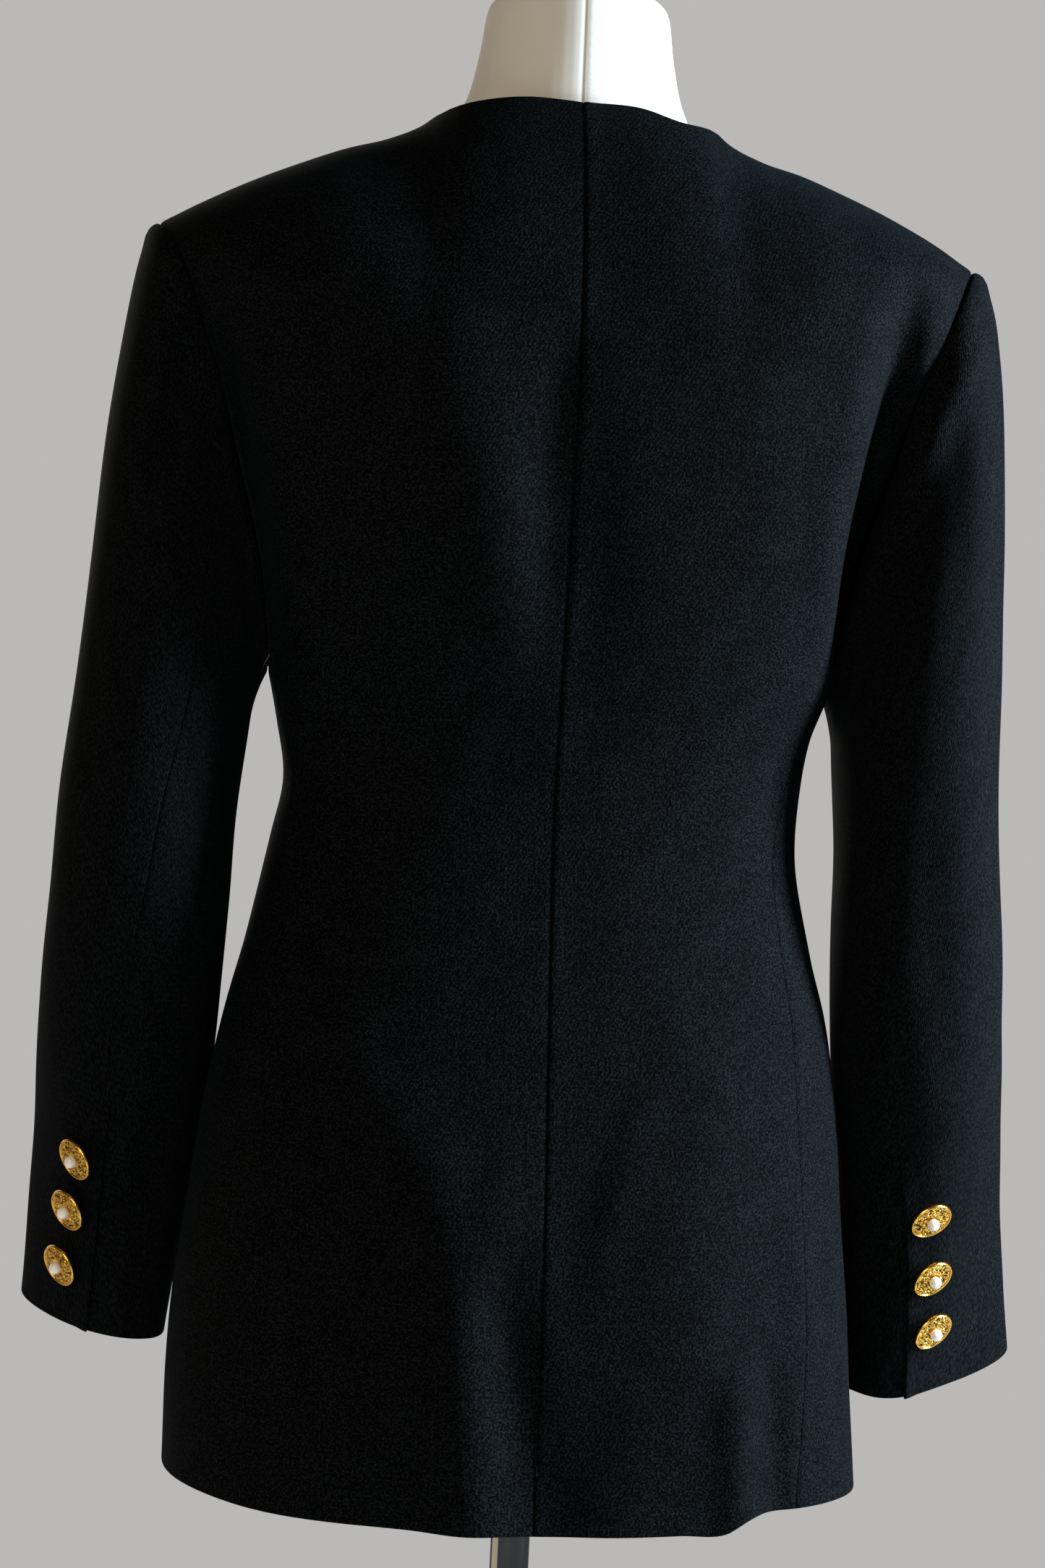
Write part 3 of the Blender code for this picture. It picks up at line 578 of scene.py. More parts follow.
def gridLines(start, stop, metresPerStep, edges):
    # even lines from start to stop, plus close ones beside each edge
    count = max(2, int(np.ceil((stop - start) * metresPerStep / jacket["pitch"])))
    even = np.linspace(start, stop, count + 1)
    beside = [edge + way * closeLines / metresPerStep for edge in edges for way in (-1, 1)]
    clear = np.min(np.abs(even[:, None] - np.array(edges)), axis=1)
    even = even[clear > (closeLines[-1] + clearOfClose) / metresPerStep]
    lines = np.concatenate([even, edges, [start, stop], *beside])
    return np.unique(np.round(lines[(lines >= start) & (lines <= stop)], 7))


def arcLengths(points):
    # running length down each column
    steps = np.linalg.norm(np.diff(points, axis=0), axis=-1)
    return np.concatenate([np.zeros((1, points.shape[1])), np.cumsum(steps, axis=0)])


def respace(points, count):
    # the same columns with count even rows by length, and close rows beside both ends
    length = arcLengths(points)
    total = length[-1]
    narrow = np.minimum(1.0, total / gridding["narrow"])
    start, end = closeLines[:, None] * narrow, total - closeLines[::-1, None] * narrow
    first, last = start[-1] + clearOfClose, end[0] - clearOfClose
    even = first + (last - first) * np.linspace(0, 1, count + 1)[:, None]
    targets = np.concatenate([0 * total[None], start, even, end, total[None]])
    spaced = np.empty((len(targets), points.shape[1], 3))
    for j, k in np.ndindex(points.shape[1:]):
        spaced[:, j, k] = np.interp(targets[:, j], length[:, j], points[:, j, k])
    return spaced


class Cloth:
    # one cut piece: its smooth outer face, the way its wall faces, and which edges are free;
    # the edges are its first and last rows and its left and right columns

    def __init__(self, name, points, sign, upward=1.0, free=("first",)):
        up, across = np.gradient(points, axis=0), np.gradient(points, axis=1)
        self.name, self.points, self.free = name, points, free
        self.sign, self.upward = sign, upward
        self.isSleeve, self.side = "Sleeve" in name, name.split("_")[1]
        self.out = sign * unit(np.cross(up, across))
        self.relief = np.zeros(points.shape[:2])

    def line(self, edge, part=slice(None)):
        # an edge's points, the points beside them and its walls' directions
        turn = (0, 1, 2) if edge in ("first", "last") else (1, 0, 2)
        points, out = self.points.transpose(turn), self.out.transpose(turn)
        at, beside = (-1, -2) if edge in ("last", "right") else (0, 1)
        return points[at, part], points[beside, part], out[at, part]

    def fromEdge(self, edge):
        # distance of each grid point from an edge, measured along the grid's lines
        upward, back = edge in ("first", "last"), -1 if edge in ("last", "right") else 1
        grid = self.points if upward else self.points.swapaxes(0, 1)
        length = arcLengths(grid[::back])[::back]
        return length if upward else length.T


def sew(one, two):
    # part two edges that share a line and give their walls one direction
    edgeOne, innerOne, outOne = one
    edgeTwo, innerTwo, outTwo = two
    apart = unit(unit(innerOne - edgeOne) - unit(innerTwo - edgeTwo))
    shared = outOne + outTwo
    shared = unit(shared - apart * np.sum(apart * shared, -1, keepdims=True))
    edgeOne += apart * jacket["seamGap"] / 2
    edgeTwo -= apart * jacket["seamGap"] / 2
    outOne[:] = shared
    outTwo[:] = shared


def joinDirections(*corners):
    shared = unit(sum(piece.out[row, column] for piece, row, column in corners))
    for piece, row, column in corners:
        piece.out[row, column] = shared


def gridDown(side, lowLines, columns, front):
    # rows up to the underarm, then three stretches up the armhole with evened rows
    fine = gridding["fineStep"]
    fineLines = np.linspace(lowRows, topRow, int(jacket["highRows"] / fine) + 1)
    whole = panelGrid(side, fineLines, columns, front)
    stops = (lowRows, jacket["frontSeamRow"], jacket["elbowRow"], topRow)
    at = [int(round((r - lowRows) / fine)) for r in stops]
    parts = [panelGrid(side, lowLines, columns, front)]
    for first, last, count in zip(at, at[1:], gridding["armholeRows"]):
        parts.append(respace(whole[first : last + 1], count)[1:])
    return np.concatenate(parts), np.cumsum([len(part) for part in parts]) - 1


def cutSide(side, sign):
    lowLines = gridLines(0.0, lowRows, gridding["rowLength"], [0.0, lowRows])
    edges = [0.0, neckColumns, backColumnCount]
    backColumns = gridLines(0.0, backColumnCount, gridding["columnLength"], edges)
    frontColumns = backColumns[backColumns >= neckColumns] - neckColumns
    flankColumns = gridLines(0.0, 1.0, gridding["flankLength"], [0.0, 1.0])
    backPoints, _ = gridDown(side, lowLines, backColumns, False)
    frontPoints, stops = gridDown(side, lowLines, frontColumns, True)
    lowTop, frontRow, elbowRow, _ = stops
    back = Cloth("backCloth_" + side, backPoints, sign)
    front = Cloth("frontCloth_" + side, frontPoints, -sign, free=("first", "left"))
    flank = Cloth("sideCloth_" + side, flankGrid(side, lowLines, flankColumns), sign)
    holeBack, holeFront = back.points[lowTop:, -1].copy(), front.points[lowTop:, -1].copy()
    e, f = elbowRow - lowTop, frontRow - lowTop
    over = [holeBack[e:], holeFront[f:-1][::-1]]
    under = [holeFront[1 : f + 1][::-1], flank.points[-1, ::-1], holeBack[1 : e + 1]]
    top, below = (
        Cloth(
            part + "SleeveCloth_" + side,
            respace(sleeveGrid(side, np.concatenate(ring), part), gridding["sleeveRows"]),
            -sign,
            -1.0,
            free=("last",),
        )
        for part, ring in (("top", over), ("under", under))
    )
    back.neck = int(np.argmin(np.abs(backColumns - neckColumns)))
    count = len(holeBack) - e
    turn = f + len(flankColumns) - 1
    lowPart = slice(0, lowTop + 1)
    sew(back.line("right", lowPart), flank.line("left"))
    sew(front.line("right", lowPart), flank.line("right"))
    sew(back.line("last", slice(back.neck, None)), front.line("last"))
    sew(top.line("left"), below.line("right"))
    sew(top.line("right"), below.line("left"))
    for piece, edge, part, sleeve, sleevePart in (
        (back, "right", slice(elbowRow, None), top, slice(0, count)),
        (front, "right", slice(None, frontRow - 1, -1), top, slice(count - 1, None)),
        (front, "right", slice(frontRow, lowTop - 1, -1), below, slice(0, f + 1)),
        (flank, "last", slice(None, None, -1), below, slice(f, turn + 1)),
        (back, "right", slice(lowTop, elbowRow + 1), below, slice(turn, None)),
    ):
        sew(piece.line(edge, part), sleeve.line("first", sleevePart))
    joinDirections((back, -1, -1), (front, -1, -1), (top, 0, count - 1))
    joinDirections((back, lowTop, -1), (flank, -1, 0), (below, 0, turn))
    joinDirections((front, lowTop, -1), (flank, -1, -1), (below, 0, f))
    joinDirections((back, elbowRow, -1), (top, 0, 0), (below, 0, -1))
    joinDirections((front, frontRow, -1), (top, 0, -1), (below, 0, 0))
    return [back, front, flank, top, below]


pieces = [piece for side, sign in sideSign.items() for piece in cutSide(side, sign)]
cloths = {piece.name: piece for piece in pieces}
sew(*(cloths["backCloth_" + side].line("left") for side in sideSign))
print("jacket cut,", sum(piece.relief.size for piece in pieces), "points")


# ---- folds, seams and edges on the smooth cloth

drape = {
    "facingFrom": -0.15,     # the folds begin where the cloth faces back by this much
    "facingFade": 0.5,
    "seamDepth": 0.0005,
    "seamWidth": 0.0008,
    "seamRoll": 0.00010,     # how far the allowance beneath lifts the cloth beside a seam
    "rollAt": 0.0042,
    "rollWidth": 0.0030,
    "seamStep": 0.0005,      # the right back is pressed over the left one at the centre back
    "stepFade": 0.0035,
    "sleeveSeamFrom": 0.9,   # the sleeve's own seams are deeper by half above this
    "sleeveSeamFade": 0.05,
    "armholeDepth": 0.0015,
    "armholeFrom": 1.15,
    "armholeFade": 0.03,
    "rope": 0.0012,          # how far the sleeve head stands up beside the armhole seam
    "ropeAt": 0.0075,
    "ropeWidth": 0.0060,
    "ropeFrom": 1.19,
    "ropeFade": 0.07,
    "plump": {"left": 0.0, "right": 0.0064},   # the sleeve's fullness behind the armhole
    "plumpAt": 0.018,
    "plumpWidth": 0.016,
    "plumpFrom": 1.11,
    "plumpFade": 0.06,
    "plumpTo": 1.28,
    "plumpEase": 0.07,
    "pucker": 0.00022,
    "puckerFade": 0.010,
    "unevenness": 0.0007,
    "padFrom": 1.36,         # the padded shoulder lies flatter
    "padFade": 0.03,
    "padFlattens": 0.7,
    "lapLift": 0.0021,
    "lapWidth": 0.0060,
    "lapDip": 0.0003,
    "lapCrease": 0.001,
    "underLap": 0.0040,      # how far the under sleeve reaches on beneath the lap
    "underLapFade": 0.004,
    "edgeFade": 0.006,       # how far in a turned edge's thickness runs out
    "lapTop": {"left": 0.905, "right": 0.890},
    "lapEase": 0.045,
    "turnedBack": 0.030,     # the wool goes this far round behind a hem before the lining
}

# ridges and hollows of the back: rows of height up the jacket, place across, width and how
# far each stands, in millimetres
backFolds = {
    "rightDrapeRidge": (
        (1105, -146, 12, 0), (1150, -143, 12, 3), (1185, -138, 13, 4.2), (1240, -144, 15, 3.6),
        (1290, -156, 15, 1.8), (1335, -166, 14, 0),
    ),
    "rightDrapeHollow": (
        (1120, -166, 11, 0), (1165, -162, 11, -5), (1220, -166, 12, -7), (1275, -175, 11, -5),
        (1325, -186, 10, 0),
    ),
    "leftDrapeRidge": (
        (1110, 136, 16, 0), (1170, 138, 17, 2.2), (1230, 146, 18, 2.2), (1300, 160, 18, 0),
    ),
    "leftDrapeHollow": (
        (1120, 160, 12, 0), (1180, 164, 13, -3), (1240, 172, 13, -3.4), (1310, 186, 12, 0),
    ),
    "leftBladeBand": (
        (1120, 22, 26, 0), (1180, 36, 26, 4.4), (1260, 58, 28, 4.6), (1330, 74, 30, 0),
    ),
    "lensBesideCentre": (
        (1110, 8, 13, 0), (1170, 12, 14, -4), (1250, 13, 14, -4), (1320, 8, 13, 0),
    ),
    "shallowRightOfCentre": (
        (1080, -12, 12, 0), (1150, -13, 14, -1.8), (1240, -8, 14, -1.6), (1300, -6, 12, 0),
    ),
    "hipBulgeLeft": (
        (850, 78, 18, 0), (890, 84, 20, 3.4), (930, 104, 21, 3.6), (975, 112, 20, 0),
    ),
    "skirtRidgeLeft": (
        (690, 40, 20, 3), (740, 38, 19, 3), (800, 34, 17, 2.8), (860, 25, 15, 2.4),
        (930, 13, 13, 0),
    ),
    "skirtTroughLeft": (
        (690, 68, 18, -1), (755, 67, 18, -1.9), (815, 60, 17, -1.8), (870, 48, 13, 0),
    ),
    "diagonalRight": (
        (800, -18, 11, 0), (845, -29, 13, 1.5), (885, -41, 13, 1.3), (925, -54, 12, 0),
    ),
    "wedgeRightOfCentre": (
        (790, -10, 8, 0), (835, -18, 11, -1.5), (875, -29, 11, -1.3), (915, -40, 10, 0),
    ),
    "hollowLowCentre": (
        (690, -14, 15, -1.8), (738, -20, 16, -2.2), (790, -34, 14, 0),
    ),
    "sideRidgeRight": (
        (750, -137, 10, 0), (810, -135, 11, 2), (865, -129, 11, 2), (925, -121, 10, 0),
    ),
    "broadHipRight": (
        (700, -78, 30, 0), (780, -76, 34, 2.6), (880, -84, 36, 2.8), (970, -80, 32, 0),
    ),
}

# the same for the sleeves, as seen from behind
sleeveFolds = {
    "rightInnerStrip": (
        (930, -166, 8, 0), (1000, -168, 9, 1.6), (1080, -170, 10, 1.8), (1140, -172, 10, 0),
    ),
    "rightUpperBack": (
        (1060, -206, 14, 0), (1130, -210, 17, 0.6), (1210, -222, 18, 0.5), (1290, -234, 16, 0),
    ),
    "rightElbowHollow": (
        (900, -226, 12, 0), (960, -214, 14, -2.2), (1020, -206, 14, -2), (1080, -200, 12, 0),
    ),
    "leftUpperBack": (
        (1040, 212, 14, 0), (1110, 214, 16, 2.2), (1190, 218, 16, 2.2), (1270, 228, 15, 0),
    ),
    "leftElbowHollow": (
        (880, 232, 13, 0), (940, 226, 15, -2.4), (1010, 220, 15, -1.8), (1070, 214, 13, 0),
    ),
}


def foldHeight(folds, x, z):
    # each fold is a bell of its width across a line that its table draws up the cloth;
    # one that starts below the hem runs out over it
    total = np.zeros(x.shape)
    for rows in folds.values():
        zs, xs, widths, heights = np.array(rows).T / 1000
        inside = (z < zs[-1]) & ((z > zs[0]) | (zs[0] < jacket["hemZ"]))
        across = (x - curve(z, zs, xs)) / curve(z, zs, widths)
        total += np.where(inside, curve(z, zs, heights), 0.0) * np.exp(-(across**2))
    return total


def clothFolds(piece):
    # how squarely the cloth faces back, and its folds, which fade out where it turns away
    x, _, z = np.moveaxis(piece.points, -1, 0)
    facingBack = softStep((piece.out[..., 1] - drape["facingFrom"]) / drape["facingFade"])
    folds = sleeveFolds if piece.isSleeve else backFolds
    return facingBack, facingBack * foldHeight(folds, x, z)


def ripple(a, b, phase):
    # three waves of unlike lengths, for cloth that is nowhere quite even
    return (
        np.sin(a * 41 + b * 17 + phase) * np.sin(b * 29 - a * 11 + 1.7 * phase)
        + 0.6 * np.sin(a * 83 - b * 37 + 2.3 * phase)
        + 0.35 * np.sin(a * 149 + b * 71 + 0.6 * phase)
    ) / 1.95


def sewEdge(piece, edge, facingBack):
    # the groove along a seam, its allowance and pucker beside it, and the sleeve's head
    x, y, z = np.moveaxis(piece.points, -1, 0)
    sleeve, relief, d = piece.isSleeve, piece.relief, piece.fromEdge(edge)
    armhole = sleeve and edge == "first"
    depth = np.full(d.shape, drape["armholeDepth" if armhole else "seamDepth"])
    if not sleeve and edge == "right" and "side" not in piece.name:
        high = softStep((z - drape["armholeFrom"]) / drape["armholeFade"])
        depth += high * (drape["armholeDepth"] - depth)
    if "back" in piece.name and edge == "last":
        depth[:, : piece.neck] = 0.0
    if sleeve and not armhole:
        depth *= 1 + 0.5 * softStep((z - drape["sleeveSeamFrom"]) / drape["sleeveSeamFade"])
    sewn = depth > 0
    relief -= depth * np.exp(-((d / drape["seamWidth"]) ** 1.3))
    relief += sewn * drape["seamRoll"] * bell(d - drape["rollAt"], drape["rollWidth"])
    along = ripple(z * 2.2 + x, y * 1.9 - z, 2.1)
    relief += sewn * drape["pucker"] * along * np.exp(-d / drape["puckerFade"])
    if "back" in piece.name and edge == "left":
        relief -= drape["seamStep"] * sideSign[piece.side] * np.exp(-d / drape["stepFade"])
    if armhole:
        head = softStep((z[:1] - drape["ropeFrom"]) / drape["ropeFade"])
        relief += drape["rope"] * head * bell(d - drape["ropeAt"], drape["ropeWidth"])
        above = softStep((z - drape["plumpFrom"]) / drape["plumpFade"])
        over = softStep((z - drape["plumpTo"]) / drape["plumpEase"])
        behind = facingBack * above * (1 - over)
        full = bell(d - drape["plumpAt"], drape["plumpWidth"])
        relief += drape["plump"][piece.side] * behind * full


def lapCuff(piece):
    # the top sleeve's edge laps over the under sleeve below the vent's top
    isTop = "top" in piece.name
    d = piece.fromEdge("left" if isTop else "right")
    opened = softStep((drape["lapTop"][piece.side] - piece.points[..., 2]) / drape["lapEase"])
    near = opened * bell(d, drape["lapWidth"])
    if isTop:
        piece.opened, piece.lap = opened, near * drape["lapLift"]
        crease = np.exp(-d / drape["lapCrease"])
        piece.relief += piece.lap + near * drape["seamDepth"] * 1.4 * crease
    else:
        piece.relief -= near * drape["lapDip"]
        inside = unit(piece.points[:, -1] - piece.points[:, -4])[:, None]
        reach = opened * np.exp(-d / drape["underLapFade"]) * drape["underLap"]
        piece.points += reach[..., None] * inside


def dressCloth(piece):
    x, y, z = np.moveaxis(piece.points, -1, 0)
    facingBack, folds = clothFolds(piece)
    flatter = 1 - drape["padFlattens"] * softStep((z - drape["padFrom"]) / drape["padFade"])
    piece.relief += folds + drape["unevenness"] * ripple(x + 0.4 * y, z, 0.8) * flatter
    for edge in ("first", "last", "left", "right"):
        if edge not in piece.free:
            sewEdge(piece, edge, facingBack)
    piece.lap = 0.0
    if piece.isSleeve:
        lapCuff(piece)


def wallFaces(rows, columns):
    # the outer quads, the inner ones turned over, and a strip round the edges
    quads, count = gridQuads(rows, columns), rows * columns
    index = np.arange(count).reshape(rows, columns)
    rim = np.concatenate([index[0], index[1:, -1], index[-1, -2::-1], index[-2:0:-1, 0]])
    after = np.roll(rim, -1)
    sides = np.stack([rim, rim + count, after + count, after], -1)
    return np.concatenate([quads, quads[:, ::-1] + count, sides]), len(quads)


def closedEdges(piece):
    # the edges that close on a half circle, each with its wall and how much of it is closed
    whole = np.ones(piece.relief.shape)
    for edge in piece.free:
        yield edge, jacket["frontEdgeWall" if edge == "left" else "edgeWall"], whole
    if "back" in piece.name:
        neckline = (piece.neck + 4 - np.arange(whole.shape[1])) / 5.0
        yield "last", jacket["edgeWall"], whole * softStep(neckline)
    if "topSleeve" in piece.name:
        yield "left", jacket["wall"], piece.opened


def buildCloth(piece, materials):
    # outer face, and inner face one wall behind it, drawn together at the closed edges
    wall, shape = jacket["wall"], piece.relief.shape
    inward, pinch, lining = np.full(shape, wall), np.zeros(shape), np.ones(shape)
    for edge, edgeWall, keep in closedEdges(piece):
        d = piece.fromEdge(edge)
        more = keep * (edgeWall - wall) * np.exp(-d / drape["edgeFade"])
        inward = np.maximum(inward, wall + more)
        radius = inward / 2
        short = np.clip(radius - d, 0.0, None)
        rounding = radius - np.sqrt(np.clip(radius**2 - short**2, 0.0, None))
        pinch = np.maximum(pinch, keep * np.minimum(rounding, radius * 0.97))
        beyond = softStep((d - drape["turnedBack"]) / 0.0005)
        lining = np.minimum(lining, np.where(keep > 0.5, beyond, 1.0))
    # the inner face follows the folds and the lap, and not the seams' grooves
    follow = clothFolds(piece)[1] + piece.lap
    outer = piece.points + (piece.relief - pinch)[..., None] * piece.out
    inner = piece.points + (follow - inward + pinch)[..., None] * piece.out
    points = np.concatenate([outer.reshape(-1, 3), inner.reshape(-1, 3)])
    faces, count = wallFaces(*shape)
    corner, across, far, _ = faces[:count].T
    turned = np.cross(points[across] - points[corner], points[far] - points[corner])
    if np.sum(turned * piece.out.reshape(-1, 3)[corner]) < 0:
        faces = faces[:, ::-1]
    # metres across and up the cloth, so that the twill keeps its real size
    u = -piece.sign * piece.upward * piece.fromEdge("left")
    v = piece.upward * piece.fromEdge("first")
    uv = np.tile(np.stack([u, v], -1).reshape(-1, 2), (2, 1))
    lined = lining.reshape(-1)[faces[:count, 0]] > 0.5
    slots = np.concatenate([np.zeros(count), lined, np.zeros(len(faces) - 2 * count)])
    made = makePiece(piece.name, points, [faces], materials, slots, uv)
    return made, float(np.linalg.norm(turned, axis=1).sum())


for piece in pieces:
    dressCloth(piece)
print("folds and seams laid")


# ---- materials of the jacket

wool = {
    "dark": "#010101",
    "light": "#141719",
    "ribSpacing": 0.00205,   # the real 1.45 mm is too fine to show, so it is drawn coarser
    "ribLean": 0.57,         # the ribs climb 1 up for this much across
    "ribWander": 5.0,
    "grains": {              # scale and detail of each noise
        "wander": (190.0, 2.0),
        "yarn": (820.0, 1.0),
        "nap": (300.0, 2.0),
        "cloud": (60.0, 3.0),
    },
    "shares": {"rib": 0.05, "yarn": 3.00, "nap": 1.00, "cloud": 0.50},
    "spread": (2.02, 2.84),
    "heights": {"rib": 0.00004, "yarn": 0.00044, "nap": 0.00032},
    "roughness": 0.80,
    "gloss": 0.02,
    "sheen": 0.012,
    "sheenRoughness": 0.38,
    "sheenTint": "#a0c8d8",
}


def woolTwill():
    # worsted wool twill, dyed black and pressed: fine slanting ribs under a short matt nap,
    # uneven from yarn to yarn and in soft clouds, with hardly any gloss
    made, tree = newMaterial("woolTwill")
    uv = addNode(tree, "UVMap", uv_map="cloth")
    grains = {}
    for name, (scale, detail) in wool["grains"].items():
        values = {"Scale": scale, "Detail": detail}
        grains[name] = addNode(tree, "TexNoise", values, {"Vector": uv})
    step = 2 * np.pi / wool["ribSpacing"] / np.hypot(1.0, wool["ribLean"])
    way = (step, -step * wool["ribLean"], 0.0)
    slant = addNode(tree, "VectorMath", {1: way}, {0: uv}, operation="DOT_PRODUCT")
    links = {0: grains["wander"], 2: slant.outputs["Value"]}
    phase = addNode(tree, "Math", {1: wool["ribWander"]}, links, operation="MULTIPLY_ADD")
    grains["rib"] = addNode(tree, "Math", links={0: phase}, operation="SINE")
    sums = {}
    for total, weights in (("share", wool["shares"]), ("height", wool["heights"])):
        for name, weight in weights.items():
            links = {0: grains[name]}
            if total in sums:
                links[2] = sums[total]
            values = {1: weight, 2: 0.0}
            sums[total] = addNode(tree, "Math", values, links, operation="MULTIPLY_ADD")
    values = fromTo("From", wool["spread"])
    factor = addNode(tree, "MapRange", values, {"Value": sums["share"]})
    ends = mixEnds(wool["dark"], wool["light"])
    colour = addNode(tree, "Mix", ends, {"Factor": factor}, data_type="RGBA")
    # the heights are in metres, so the bump takes them as they are
    values = {"Strength": 1.0, "Distance": 1.0}
    bump = addNode(tree, "Bump", values, {"Height": sums["height"]})
    settings = {
        "Roughness": wool["roughness"],
        "Specular IOR Level": wool["gloss"],
        "Sheen Weight": wool["sheen"],
        "Sheen Roughness": wool["sheenRoughness"],
        "Sheen Tint": linearColour(wool["sheenTint"]),
    }
    return finishMaterial(made, settings, {"Base Color": colour.outputs[2], "Normal": bump})


satin = {
    "colour": "#101113",
    "roughness": 0.34,
    "gloss": 0.5,
    "threads": (3200.0, 240.0, 1.0),    # to a metre across the cloth and up it
    "threadHeight": 0.00006,
    "threadStrength": 0.25,
}


def satinLining():
    # viscose satin, woven so that one way of the thread shines: a smooth black inner face
    made, tree = newMaterial("satinLining")
    uv = addNode(tree, "UVMap", uv_map="cloth")
    stretch = addNode(tree, "Mapping", {"Scale": satin["threads"]}, {"Vector": uv})
    threads = addNode(tree, "TexNoise", {"Scale": 1.0, "Detail": 2.0}, {"Vector": stretch})
    values = {"Strength": satin["threadStrength"], "Distance": satin["threadHeight"]}
    bump = addNode(tree, "Bump", values, {"Height": threads})
    settings = {"Roughness": satin["roughness"], "Specular IOR Level": satin["gloss"]}
    settings["Base Color"] = linearColour(satin["colour"])
    return finishMaterial(made, settings, {"Normal": bump})


clothMaterials = [woolTwill(), satinLining()]
for piece in pieces:
    made, area = buildCloth(piece, clothMaterials)
    standIn(made, piece.name.replace("Cloth", "").replace("Sleeve", "_sleeve"))
    # its cut size is the width and length of the paper pattern that would hold it flat
    width = float(piece.fromEdge("left")[:, -1].max())
    length = float(piece.fromEdge("first")[-1].max())
    print(piece.name, "width %.3f length %.3f area %.4f" % (width, length, area))
print("jacket built")


# ---- buttons: a textured gold disc on a shank, with a pearl in the middle

button = {
    "radius": 0.0121,
    "stand": 0.0042,
    "lift": 0.0009,
    "dish": 0.0030,
    "cup": 0.0016,
    "shank": 0.0028,
    "pearl": 0.0033,
    "restGap": 0.0003,
    "nuggets": 92,
    "nuggetHeight": 0.00080,
    "nuggetTilt": 0.36,
    "nuggetRise": 0.35,
    "spinScatter": 0.10,
    "ringScatter": 0.00018,
    "groove": 0.0010,
    "beads": 48,
    "beadHeight": 0.00022,
    "beadWidth": 0.00045,
    "beadRing": 0.945,
    "pearlRings": 26,
    "pearlTurns": 40,
    "faceRows": 66,
    "turns": 176,
    "firstSeed": 40,
    # the first gold colour is painted shade for the grooves, the second is the gold itself
    "goldColours": ("#2c1805", "#e4af4c"),     # in the grooves and on the nuggets
    "goldRoughness": (0.14, 0.30),
    "goldGrain": 900.0,
    "pearlColour": "#f7f4ec",
    "pearlRoughness": 0.22,
    "lacquer": 0.6,
    "lacquerRoughness": 0.06,
    "glow": 0.15,
    "glowDepth": 0.002,
}
# heights and degrees round from the elbow seam, moved by up to 4 mm from the solids' places,
# then how far each face hangs down and is turned to the wearer's left, in degrees
cuffButtons = {
    "left": table(
        "z turn droop toLeft",
        (0.8615, 14.0, 6.0, 17.0),
        (0.8335, 19.0, 11.0, 8.0),
        (0.8020, 22.5, 14.0, 4.0),
    ),
    "right": table(
        "z turn droop toLeft",
        (0.8485, 11.5, 20.0, -18.0),
        (0.8160, 12.5, 19.0, -12.0),
        (0.7860, 15.0, 18.0, -9.0),
    ),
}
frontButtonZ = (1.160, 1.080, 1.000)


def around(r, turns):
    # x and y of even places round circles of radius r
    turn = 2 * np.pi * np.arange(turns) / turns
    return r * np.cos(turn), r * np.sin(turn), turn


def closedTurn(points, topHeight, footHeight):
    # rings joined by quads, with a fan to the axis at each end
    rings, turns, _ = points.shape
    count, first = rings * turns, np.arange(turns)
    top = np.stack([np.full(turns, count), first, np.roll(first, -1)], -1)
    foot = top[:, [0, 2, 1]] + [1, count - turns, count - turns]
    ends = np.array([[0.0, 0.0, topHeight], [0.0, 0.0, footHeight]])
    quads = gridQuads(rings, turns, closed=True)[:, [0, 3, 2, 1]]
    return np.concatenate([points.reshape(-1, 3), ends]), [quads, top, foot]


